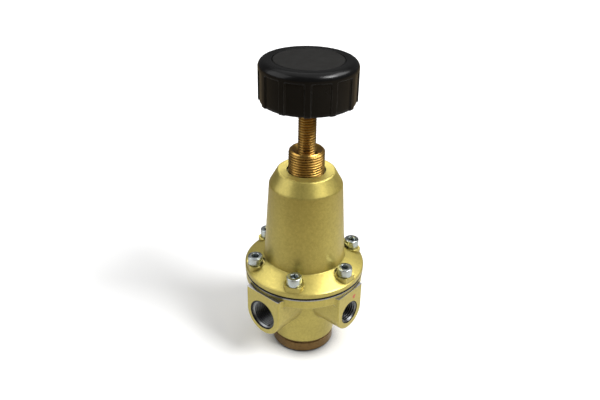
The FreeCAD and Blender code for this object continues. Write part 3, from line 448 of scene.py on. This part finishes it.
def paint_surface(tree, where):
    """Sockets for colour, roughness and normal of the metallic olive-gold paint."""
    sparkle = add(tree, "ShaderNodeTexVoronoi", {"Vector": where, "Scale": 1 / (0.22 * MM)}
                  ).outputs["Color"]
    patches = noise(tree, where, 14.0, 3.0)
    base = blend(tree, remap(tree, patches, 0.35, 0.65, 0, 1), tone(PAINT, 0.93), tone(PAINT, 1.05))
    base = blend(tree, remap(tree, sparkle, 0.2, 1.0, 0, 0.35), base, tone(PAINT, 1.45))
    mottle = remap(tree, noise(tree, where, 1.5, 4.0, 0.7), 0.35, 0.65, 0, 0.55)
    base = blend(tree, mottle, base, tone(PAINT, 0.72))
    # painted shade where other surfaces lie within 2.2 mm
    base = painted_crevice_shade(tree, base, 2.2, 0.22)
    scuffs = remap(tree, noise(tree, where, 2.2, 8.0, 0.75), 0.66, 0.74, 0, 0.5)
    base = blend(tree, scuffs, base, tone(PAINT, 0.55))
    normal = soft_edges(tree, 0.35)
    normal = bump(tree, noise(tree, where, 1.0, 3.0), 0.08, 0.85, normal)
    rough = remap(tree, sparkle, 0.0, 1.0, 0.33, 0.47)
    return base, rough, normal


def paint_material():
    material, tree, shader, where = blank("paint_olive_gold")
    base, rough, normal = paint_surface(tree, where)
    set_inputs(shader, tree, Base_Color=base, Roughness=rough, Normal=normal,
               Metallic=PAINT_METALLIC, Coat_Weight=COAT, Coat_Roughness=COAT_ROUGH)
    return material


def machined_shares(tree, where):
    """1 where the casting was machined after painting, and 1 on the port-mouth rims, where shade is
    painted dark.
    """
    spot = add(tree, "ShaderNodeSeparateXYZ", {"Vector": where}).outputs
    x, y, z = spot[0], spot[1], spot[2]
    across = from_axis(tree, x, y)
    rise = maths(tree, "SUBTRACT", z, PORT_Z * MM)
    ledge = both(tree, beyond(tree, z, TOP_FACE - LEDGE_DROP - 0.12),
                 beyond(tree, across, BODY_RIM + 0.06))
    lip = beyond(tree, z, TOP_FACE - LIP_DEPTH)
    inner = both(tree, within(tree, across, INNER_RADIUS),
                 within(tree, size_of(tree, rise), INNER_HALF))
    bare = maths(tree, "MAXIMUM", maths(tree, "MAXIMUM", ledge, lip), inner)
    painted_rim_shades = []
    for ahead, beside, shift, face, mouth, spread, rim in (
            (x, y, 0.35, LINE_FACE, LINE_MOUTH, 0.3, 0.55),
            (y, x, 0.0, GAUGE_FACE, GAUGE_MOUTH, 0.16, 0.40)):
        depth = size_of(tree, ahead)
        shifted = maths(tree, "SUBTRACT", beside, shift * MM)
        open_mouth = both(tree, within(tree, from_axis(tree, shifted, rise), mouth + spread),
                          beyond(tree, depth, face - THREAD_DEPTH - 0.1))
        # painted shade: the chamfer round each port mouth is darkened as if shadowed
        shaded_rim_edge = both(tree, beyond(tree, from_axis(tree, beside, rise), mouth - rim),
                         beyond(tree, depth, BOSS_START))
        bare = maths(tree, "MAXIMUM", bare, open_mouth)
        painted_rim_shades.append(both(tree, open_mouth, shaded_rim_edge))
    return bare, maths(tree, "MAXIMUM", *painted_rim_shades)


def machined_metal(tree, where, painted_rim_shades):
    """Sockets for colour and roughness of milled grey metal, with painted shade inside the bores and
    on the rims.
    """
    stretched = add(tree, "ShaderNodeMapping", {"Vector": where, "Scale": (1, 9, 1)}).outputs["Vector"]
    milled = noise(tree, stretched, 1.6, 4.0, 0.5)
    colour = blend(tree, remap(tree, milled, 0.3, 0.7, 0, 1), tone(BARE, 0.62), tone(BARE, 1.2))
    # painted shade deep in the bores
    colour = painted_crevice_shade(tree, colour, 7.0, 0.03)
    # painted shade on the port-mouth rims
    colour = blend(tree, painted_rim_shades, colour, (0.02, 0.02, 0.02, 1))
    return colour, remap(tree, milled, 0.3, 0.7, 0.3, 0.45)


def red_spotted(tree, where, colour):
    """A colour with one small uneven red spot of paint over it."""
    distance = add(tree, "ShaderNodeVectorMath", {0: where, 1: tuple(part * MM for part in RED_DOT)},
                   operation="DISTANCE").outputs["Value"]
    uneven = remap(tree, noise(tree, where, 0.9), 0.3, 0.7, -0.5 * MM, 0.5 * MM)
    share = remap(tree, maths(tree, "ADD", distance, uneven), 1.2 * MM, 1.5 * MM, 0.85, 0)
    return blend(tree, share, colour, RED)


def body_material():
    """The same paint, cut through to bare grey metal where the casting was machined."""
    material, tree, shader, where = blank("paint_and_machined_faces")
    base, rough, normal = paint_surface(tree, where)
    bare, painted_rim_shades = machined_shares(tree, where)
    metal_colour, metal_rough = machined_metal(tree, where, painted_rim_shades)
    base = red_spotted(tree, where, base)
    roughness = add(tree, "ShaderNodeMix", {"Factor": bare, "A": rough, "B": metal_rough})
    set_inputs(shader, tree, Base_Color=blend(tree, bare, base, metal_colour), Normal=normal,
               Metallic=remap(tree, bare, 0, 1, PAINT_METALLIC, 1.0), Coat_Roughness=COAT_ROUGH,
               Coat_Weight=remap(tree, bare, 0, 1, COAT, 0.0),
               Roughness=roughness.outputs["Result"])
    return material


PAINT_SKIN = paint_material()
BODY_SKIN = body_material()
# shut_in: how far each metal's painted shade reaches into its hollows, such as screw sockets and
# thread roots
COLLAR_BRASS = metal("collar_brass", (0.56, 0.335, 0.085), 0.30, 0.4, 0.002, edge=0.0, shut_in=1.2)
SPINDLE_BRASS = metal("spindle_brass", (0.54, 0.33, 0.085), 0.30, 0.4, 0.002, edge=0.0, shut_in=0.8)
PLUG_BRASS = metal("plug_bronze", (0.185, 0.113, 0.044), 0.42, 0.5, 0.03, lines=0.5,
                   stain=(0.09, 0.05, 0.022), edge=0.25, shut_in=2.5)
ZINC = metal("zinc_plate", (0.52, 0.57, 0.57), 0.27, 0.5, 0.012, edge=0.06, shut_in=2.6)
STEEL = metal("oiled_steel", (0.42, 0.42, 0.44), 0.3, 0.6, 0.01)
ALUMINIUM = metal("machined_aluminium", (0.62, 0.63, 0.64), 0.34, 0.4, 0.01, lines=0.4)
# painted shade: the port threads are the body's metal given a darker tone, as deep in the bores, and
# shut_in darkens them further
SHADED_THREAD_METAL = metal("port_thread_metal_shaded", (0.26, 0.27, 0.275), 0.32, 0.4, 0.004, edge=0.0, shut_in=9.0)
KNOB_PLASTIC = plastic("knob_black", (0.004, 0.004, 0.004), 0.24, 0.35, 0.010, 0.015, 0.21, 0.045)
CAP_PLASTIC = plastic("cap_charcoal", (0.020, 0.0195, 0.0185), 0.62, 0.55, 0.14, 0.05, 0.06, 0.02)
RUBBER = rubber_material()

# ---------------------------------------------------------------- knob group


def knob_angles():
    """Angles that crowd round the flanks of the ribs."""
    offsets = (-15, -11, -8, -6, -5.2, -4.8, -4.4, -4.0, -3.6, -3.2, -2.8, -1.4, 0,
               1.4, 2.8, 3.2, 3.6, 4.0, 4.4, 4.8, 5.2, 6, 8, 11)
    sector = 360 / RIB_COUNT
    first_rib = KNOB_TURN - sector / 2
    degrees = [first_rib + sector * rib + offset for rib in range(RIB_COUNT) for offset in offsets]
    return [math.radians(angle) for angle in degrees]


def smooth(value, low, high):
    """0 below low, 1 above high, eased between."""
    share = min(max((value - low) / (high - low), 0.0), 1.0)
    return share * share * (3 - 2 * share)


def panel_share(angle, height):
    """How deep the panel is cut at a place on the knob's side, from 0 to 1."""
    sector = 360 / RIB_COUNT
    beside = abs((math.degrees(angle) - KNOB_TURN) % sector - sector / 2)
    flank = (beside - RIB_HALF_ANGLE) * math.radians(KNOB_RADIUS)
    below = PANEL_TOP - height
    near = max(PANEL_CORNER - flank, 0.0)
    under = max(PANEL_CORNER - below, 0.0)
    inset = PANEL_CORNER - math.hypot(near, under) if near and under else min(flank, below)
    return smooth(inset, 0.0, PANEL_RUN)


def make_knob():
    angles = knob_angles()
    side = [(KNOB_RADIUS - 0.5, 0.0), (KNOB_RADIUS - 0.15, 0.15), (KNOB_RADIUS, 0.5)]
    side += [(KNOB_RADIUS, height) for height in (2, 5, 8, 11, 14, 16, 16.4, 16.7, 16.9, 17.1,
                                                   17.3, 17.5, 17.7, 18.1)]
    shoulder = arc((KNOB_RADIUS, KNOB_HEIGHT - KNOB_SHOULDER), (KNOB_RIM, KNOB_HEIGHT),
                   KNOB_SHOULDER * 1.1, 1, 10)
    wall = []
    for radius, height in side:
        wall.append([(radius - PANEL_DEPTH * panel_share(angle, height), KNOB_FOOT + height)
                     for angle in angles])
    floor = KNOB_HEIGHT - RECESS_DEPTH
    top = shoulder + [(RECESS + BREAK, KNOB_HEIGHT), (RECESS + 0.07, KNOB_HEIGHT - 0.07),
                      (RECESS, KNOB_HEIGHT - BREAK), (RECESS, floor), (POCKET, floor),
                      (POCKET, HUB_FLOOR)]
    flats = math.radians(KNOB_TURN)
    inside = [hexagon(angles, DRIVE_FLATS, KNOB_FOOT + HUB_FLOOR, flats),
              hexagon(angles, DRIVE_FLATS, KNOB_FOOT + HUB_FOOT, flats)]
    under = [(HUB, HUB_FOOT), (HUB, WEB_FOOT - FILLET), (HUB + BREAK, WEB_FOOT - BREAK),
             (HUB + FILLET, WEB_FOOT), (SKIRT - FILLET, WEB_FOOT),
             (SKIRT - BREAK, WEB_FOOT - BREAK), (SKIRT, WEB_FOOT - FILLET), (SKIRT, 0.3),
             (SKIRT + 0.3, 0.0)]
    skins = [spun(angles, [(wall, 0), rings(angles, [(r, z + KNOB_FOOT) for r, z in top]),
                           (inside, 0), rings(angles, [(r, z + KNOB_FOOT) for r, z in under])])]
    for index in range(WEB_COUNT):
        turn = math.radians(KNOB_TURN + 360 / WEB_COUNT * index)
        skins.append(box_skin((HUB - 0.5, -WEB_HALF, KNOB_FOOT + WEB_FOOT - WEB_DEPTH),
                              (SKIRT + 0.5, WEB_HALF, KNOB_FOOT + WEB_FOOT + 0.2), turn))
    return piece("knob_ribbed", skins, "adjuster", KNOB_PLASTIC, ["knob"], sharp=30)


def make_knob_cap():
    angles = even_angles(144)
    foot = KNOB_FOOT + KNOB_HEIGHT - RECESS_DEPTH
    edge = foot + RECESS_DEPTH
    fillet, steps = 0.4, 14
    flat = CAP_RADIUS - fillet
    profile = [(0.0, foot), (CAP_RADIUS, foot), (CAP_RADIUS, edge - fillet)]
    profile += arc((CAP_RADIUS, edge - fillet), (flat, edge), fillet, 1, 4)[1:]
    for step in range(1, steps + 1):
        radius = flat * (1 - step / steps)
        profile.append((radius, edge + CAP_CROWN * (1 - (radius / flat) ** 2)))
    return piece("knob_insert_disc", [spun(angles, [rings(angles, profile)])], "adjuster",
                 CAP_PLASTIC, ["knob_cap"])


def make_adjusting_screw():
    angles = even_angles(96)
    seat = BALL_RADIUS + 0.025
    drop = SCREW_FOOT - BALL_Z
    cup = math.sqrt(seat ** 2 - drop ** 2)
    turn = math.radians(KNOB_TURN)
    shoulder = KNOB_FOOT + HUB_FOOT
    end = KNOB_FOOT + HUB_FLOOR - 0.5
    tapping = end - 11.0
    chamfer = 0.9
    low = arc((0.0, BALL_Z + seat), (cup, SCREW_FOOT), seat, -1, 8)
    low += [(SCREW_RADIUS - chamfer, SCREW_FOOT), (SCREW_RADIUS, SCREW_FOOT + chamfer),
            (SCREW_RADIUS, CLIP_FOOT), (CLIP_GROOVE, CLIP_FOOT), (CLIP_GROOVE, CLIP_FOOT + CLIP_WIDTH)]
    bands = [
        rings(angles, low),
        thread(angles, SCREW_RADIUS, SPINDLE_THREAD, METRIC_PITCH, CLIP_FOOT + CLIP_WIDTH, shoulder),
        ([hexagon(angles, DRIVE_FLATS, shoulder, turn), hexagon(angles, DRIVE_FLATS, end, turn)], 0),
        rings(angles, [(BOLT_RADIUS, end), (BOLT_RADIUS, tapping), (0.0, tapping)]),
    ]
    return piece("threaded_spindle", [spun(angles, bands)], "adjuster",
                 SPINDLE_BRASS, ["adjusting_screw"], sharp=70)


# ---------------------------------------------------------------- collar, screws, springs


def make_collar():
    angles = even_angles(144)
    bore = SCREW_RADIUS + 0.05
    lead_in = 1.1

    def limit(height):
        return COLLAR_RADIUS - max(height - (COLLAR_TOP - lead_in), 0.0)

    bands = [
        rings(angles, [(bore, COLLAR_FOOT), (COLLAR_FLANGE - 0.3, COLLAR_FOOT),
                       (COLLAR_FLANGE, COLLAR_FOOT + 0.3), (COLLAR_FLANGE, CEILING)]),
        thread(angles, COLLAR_RADIUS, COLLAR_THREAD, METRIC_PITCH, CEILING, COLLAR_TOP, limit),
        rings(angles, [(COLLAR_RADIUS - 1.6, COLLAR_TOP), (COLLAR_RADIUS - 1.9, COLLAR_TOP - 0.2),
                       (bore + 0.9, COLLAR_TOP - 1.7), (bore + 0.5, COLLAR_TOP - 1.8),
                       (bore, COLLAR_TOP - 2.0)]),
    ]
    return piece("collar_thread", [spun(angles, bands)], "housing", COLLAR_BRASS,
                 ["threaded_collar"], sharp=70)


def make_bonnet_screws():
    angles = even_angles(96)
    edge = arc((HEAD_RADIUS, HEAD_HEIGHT - 0.5), (HEAD_RADIUS - 0.5, HEAD_HEIGHT), 0.5, 1, 4)
    shank = [(0.0, -BOLT_LENGTH), (BOLT_RADIUS - 0.5, -BOLT_LENGTH),
             (BOLT_RADIUS, -BOLT_LENGTH + 0.5), (BOLT_RADIUS, 0.0), (HEAD_RADIUS - 0.2, 0.0),
             (HEAD_RADIUS, 0.2)]
    mouth = SOCKET_FLATS / math.sqrt(3) + 0.12
    socket_foot = HEAD_HEIGHT - SOCKET_DEPTH
    bands = [
        rings(angles, shank + edge + [(mouth, HEAD_HEIGHT), (mouth - 0.14, HEAD_HEIGHT - 0.2)]),
        ([hexagon(angles, SOCKET_FLATS, HEAD_HEIGHT - 0.22),
          hexagon(angles, SOCKET_FLATS, socket_foot)], 0),
        rings(angles, [(0.6, socket_foot - 0.4), (0.0, socket_foot - 0.5)]),
    ]
    skin = spun(angles, bands)
    places = []
    for index in range(BOLT_COUNT):
        around = Matrix.Rotation(math.radians(90 + 360 / BOLT_COUNT * index), 4, "Z")
        spin = Matrix.Rotation(random.uniform(0, math.pi / 3), 4, "Z")
        places.append(around @ Matrix.Translation((BOLT_CIRCLE, 0, PAD_TOP)) @ spin)
    return piece("bonnet_cap_screws", [skin], "housing", ZINC, ["bonnet_screws"],
                 places)


def make_springs():
    main = piece("range_spring", [coil_skin(SPRING_FOOT, SPRING_LENGTH, SPRING_RADIUS,
                                            SPRING_WIRE, 6.5)],
                 "housing", STEEL, ["main_spring"])
    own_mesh(main)
    small = piece("poppet_spring", [coil_skin(VALVE_FOOT, VALVE_LENGTH, VALVE_RADIUS,
                                              VALVE_WIRE, 7)],
                  "housing", STEEL, ["valve_spring"])
    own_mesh(small)


def cut_bolt_holes(thing, radius):
    """Bores the six bolt holes through a piece."""
    angles = even_angles(32)
    tall = 2 * TOP_FACE
    skin = spun(angles, [rings(angles, [(0.0, 0.0), (radius, 0.0), (radius, tall), (0.0, tall)])])
    places = [Matrix.Rotation(math.radians(90 + 360 / BOLT_COUNT * index), 4, "Z")
              @ Matrix.Translation((BOLT_CIRCLE, 0, 0)) for index in range(BOLT_COUNT)]
    cutter = piece("bolt_hole_cutter", [skin], "housing", RUBBER, places=places)
    bore = thing.modifiers.new("bolt_holes", "BOOLEAN")
    bore.operation = "DIFFERENCE"
    bore.object = cutter
    bore.solver = "EXACT"
    bpy.context.view_layer.update()
    cut = bpy.data.meshes.new_from_object(thing.evaluated_get(bpy.context.evaluated_depsgraph_get()))
    thing.modifiers.clear()
    thing.data = cut
    bpy.data.objects.remove(cutter)


def make_diaphragm():
    """The rubber sheet in two pieces, so that its clamped middle can follow the plates."""
    angles = even_angles(120)
    foot, top = TOP_FACE, TOP_FACE + SHEET
    middle = (PLATE_RADIUS + CHAMBER_RADIUS) / 2
    outer_half = (CHAMBER_RADIUS - PLATE_RADIUS) / 2 - ROLL_MARGIN
    inner_half = outer_half - SHEET
    split = PLATE_RADIUS + ROLL_MARGIN / 2

    def bulge(half):
        return (half ** 2 + ROLL_RISE ** 2) / (2 * ROLL_RISE)

    profile = [(split, foot)]
    profile += arc((middle - inner_half, foot), (middle + inner_half, foot), bulge(inner_half), -1, 12)
    profile += [(DIAPHRAGM_RADIUS, foot), (DIAPHRAGM_RADIUS, top)]
    profile += arc((middle + outer_half, top), (middle - outer_half, top), bulge(outer_half), 1, 12)
    profile += [(split, top)]
    rim = piece("diaphragm_rim", [spun(angles, [rings(angles, profile)])], "housing",
                RUBBER, ["diaphragm"])
    cut_bolt_holes(rim, BOLT_RADIUS + BOLT_GAP)
    slide_gap = 0.05
    edge = split - slide_gap
    centre = [(STUD_RADIUS, foot), (edge, foot), (edge, top), (STUD_RADIUS, top)]
    piece("diaphragm_centre", [spun(angles, [rings(angles, centre)])], "diaphragm_stack",
          RUBBER)


def make_port_threads():
    """Thread liners in the four ports, built along Z and laid over onto each port's axis."""
    for name, face, bore, minor, turn in (
            ("outlet_port_thread", LINE_FACE, LINE_BORE, LINE_MINOR, 0),
            ("rear_gauge_port_thread", GAUGE_FACE, GAUGE_BORE, GAUGE_MINOR, 90),
            ("inlet_port_thread", LINE_FACE, LINE_BORE, LINE_MINOR, 180),
            ("front_gauge_port_thread", GAUGE_FACE, GAUGE_BORE, GAUGE_MINOR, 270)):
        angles = even_angles(120)
        low, high = face - THREAD_DEPTH, face - 0.62

        def limit(height):
            return minor + max(height - (high - 0.8), 0.0)

        bands = [
            thread(angles, minor, minor - bore + 0.03, PIPE_PITCH, low, high, limit),
            rings(angles, [(bore, high), (bore, low)]),
        ]
        place = (Matrix.Translation((0, 0, PORT_Z)) @ Matrix.Rotation(math.radians(turn), 4, "Z")
                 @ Matrix.Rotation(math.pi / 2, 4, "Y"))
        piece(name, [spun(angles, bands)], "housing", SHADED_THREAD_METAL, places=[place])


# ---------------------------------------------------------------- CAD nodes that stay


def dress(material, slot, *nodes):
    """Gives CAD nodes a material; slot is not used."""
    for name in nodes:
        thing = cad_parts[name]
        thing.data.materials.clear()
        thing.data.materials.append(material)


make_knob()
make_knob_cap()
make_adjusting_screw()
make_collar()
make_bonnet_screws()
make_springs()
make_port_threads()
make_diaphragm()
dress(BODY_SKIN, "paint", "body")
dress(PAINT_SKIN, "paint", "bonnet")
dress(RUBBER, "rubber", "plug_gasket", "stem_o_ring", "valve_seal")
dress(PLUG_BRASS, "plug_brass", "bottom_plug")
dress(ALUMINIUM, "aluminium", "baffle_plate", "spring_plate", "diaphragm_washer")
dress(SPINDLE_BRASS, "spindle_brass", "aspirator_tube", "valve_seat", "relief_stud", "valve_stem",
      "valve_disc")
dress(ZINC, "zinc_steel", "knob_screw", "knob_washer", "spring_button", "diaphragm_nut", "stem_nut")
dress(STEEL, "spring_steel", "spindle_stop_ring", "thrust_ball")

# ---------------------------------------------------------------- studio

VIEW_ANGLE = math.radians(-49.8)
RIGHT = Vector((math.cos(VIEW_ANGLE), math.sin(VIEW_ANGLE), 0))
AWAY = Vector((-math.sin(VIEW_ANGLE), math.cos(VIEW_ANGLE), 0))
UP = Vector((0, 0, 1))
FLOOR_REACH, FLOOR_LEVEL = 4.0, -0.02 * MM
CAMERA_DOWN, CAMERA_YAW, CAMERA_ROLL = math.radians(29.43), math.radians(-0.57), math.radians(1.05)
CAMERA_BACK, CAMERA_HEIGHT = 0.3198, 0.2769
SENSOR_WIDTH, FOCAL_LENGTH = 36.0, 38.97


def studio_point(right, away, up):
    """A point in metres, measured from the object's foot as the camera sees it."""
    return RIGHT * right + AWAY * away + UP * up


def paper_colour(tree, where, contact_shade):
    """White paper, slightly cloudy, with a painted contact shadow, darkest where the object stands on
    it.
    """
    cloud = remap(tree, noise(tree, where, 300.0, 2.0), 0.3, 0.7, 0, 1)
    paper = blend(tree, cloud, (0.93, 0.93, 0.93, 1), (0.96, 0.96, 0.96, 1))
    # painted contact shadow: the paper darkens where the object's foot shuts it in
    return blend(tree, remap(tree, contact_shade, 0.4, 0.85, 0.25, 1), (0, 0, 0, 1), paper)


def reflected_floor_shade(tree, where):
    """Painted shade for what the object reflects and is lit by: bright paper beside it that falls off
    to a warm dark tone.
    """
    along, across = [add(tree, "ShaderNodeVectorMath", {0: where, 1: tuple(way)},
                         operation="DOT_PRODUCT").outputs["Value"] for way in (AWAY, RIGHT * 0.6)]
    spread = remap(tree, from_axis(tree, along, across), 0.07, 0.24, 0, 1)
    return blend(tree, spread, (0.86, 0.86, 0.84, 1), (0.26, 0.20, 0.125, 1))


def paper_glow(tree, where, contact_shade):
    """Painted light that burns the paper out to white away from the object, in two steps of distance,
    held back in the painted contact shadow.
    """
    distance = add(tree, "ShaderNodeVectorMath", {0: where}, operation="LENGTH").outputs["Value"]
    near_and_far = maths(tree, "ADD", remap(tree, distance, 0.15, 0.6, 0.10, 0.50),
                         remap(tree, distance, 0.8, 2.4, 0, 0.5))
    return both(tree, near_and_far, remap(tree, contact_shade, 0.4, 0.95, 0, 1))


def floor_material():
    """White paper to the camera, a copy of it in painted shade to the object's reflections and bounce
    light, and clear from below.
    """
    material, tree, shader, where = blank("floor_white")
    contact_shade = openness(tree, 12.0)
    seen = add(tree, "ShaderNodeLightPath").outputs["Is Camera Ray"]
    below = add(tree, "ShaderNodeNewGeometry").outputs["Backfacing"]
    colour = blend(tree, seen, reflected_floor_shade(tree, where), paper_colour(tree, where, contact_shade))
    set_inputs(shader, tree, Base_Color=colour, Alpha=maths(tree, "SUBTRACT", 1.0, below),
               Roughness=0.9, Specular_IOR_Level=0.0, Emission_Color=(1, 1, 1, 1),
               Emission_Strength=both(tree, paper_glow(tree, where, contact_shade), seen))
    return material


def make_floor():
    mesh = bpy.data.meshes.new("studio_floor")
    corners = [(x, y, FLOOR_LEVEL) for x, y in ((-1, -1), (1, -1), (1, 1), (-1, 1))]
    mesh.from_pydata([(x * FLOOR_REACH, y * FLOOR_REACH, z) for x, y, z in corners], [],
                     [(0, 1, 2, 3)])
    mesh.materials.append(floor_material())
    floor = bpy.data.objects.new("studio_floor", mesh)
    bpy.context.scene.collection.objects.link(floor)


def soft_box(name, place, aim, width, height, power):
    """A rectangular lamp at place, facing aim."""
    lamp = bpy.data.lights.new(name, "AREA")
    lamp.shape = "RECTANGLE"
    lamp.size, lamp.size_y = width, height
    lamp.energy = power
    thing = bpy.data.objects.new(name, lamp)
    thing.location = place
    thing.rotation_mode = "QUATERNION"
    thing.rotation_quaternion = (aim - place).to_track_quat("-Z", "Y")
    bpy.context.scene.collection.objects.link(thing)
    return thing


def make_lights():
    middle = studio_point(0, 0, 0.10)
    soft_box("key_right", studio_point(0.80, -0.42, 1.10), middle, 0.50, 0.50, 20)
    soft_box("fill_left", studio_point(-1.5, -0.3, 1.0), middle, 1.6, 1.6, 16)
    soft_box("overhead", studio_point(0, 0.6, 1.9), studio_point(0, 0.6, 0), 2.6, 2.6, 16)
    # These two are seen only as sheen, on the sloping flange and the bonnet's right shoulder.
    back = soft_box("back_glow", studio_point(0.03, 0.56, 1.10), middle, 0.8, 0.36, 32)
    back.visible_diffuse = False
    painted = bpy.data.collections.new("lit_by_back_glow")
    painted.objects.link(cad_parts["bonnet"])
    painted.objects.link(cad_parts["body"])
    back.light_linking.receiver_collection = painted
    side = soft_box("side_glow", studio_point(0.80, 0.12, 0.95), middle, 0.55, 0.55, 6)
    side.visible_diffuse = False


def make_world():
    """White behind the object, and faint grey light from all sides."""
    world = bpy.data.worlds.new("studio")
    bpy.context.scene.world = world
    world.use_nodes = True
    backdrop = world.node_tree.nodes["Background"]
    backdrop.inputs["Color"].default_value = (1, 1, 1, 1)
    seen = add(world.node_tree, "ShaderNodeLightPath").outputs["Is Camera Ray"]
    world.node_tree.links.new(remap(world.node_tree, seen, 0, 1, 0.10, 1.0),
                              backdrop.inputs["Strength"])


def make_camera():
    """The view: between the inlet and the front gauge port, 29 degrees down, with a small roll."""
    level = RIGHT * math.sin(CAMERA_YAW) + AWAY * math.cos(CAMERA_YAW)
    ahead = level * math.cos(CAMERA_DOWN) - UP * math.sin(CAMERA_DOWN)
    across = ahead.cross(UP).normalized()
    top = across.cross(ahead)
    across, top = (across * math.cos(CAMERA_ROLL) + top * math.sin(CAMERA_ROLL),
                   top * math.cos(CAMERA_ROLL) - across * math.sin(CAMERA_ROLL))
    lens = bpy.data.cameras.new("view")
    lens.sensor_width = SENSOR_WIDTH
    lens.lens = FOCAL_LENGTH
    lens.clip_start = 0.01
    camera = bpy.data.objects.new("view", lens)
    turn = Matrix((across, top, -ahead)).transposed().to_4x4()
    camera.matrix_world = Matrix.Translation(studio_point(0, -CAMERA_BACK, CAMERA_HEIGHT)) @ turn
    bpy.context.scene.collection.objects.link(camera)
    bpy.context.scene.camera = camera


make_floor()
make_lights()
make_world()
make_camera()
bpy.context.scene.view_settings.view_transform = "Standard"
bpy.context.scene.view_settings.exposure = 0.0
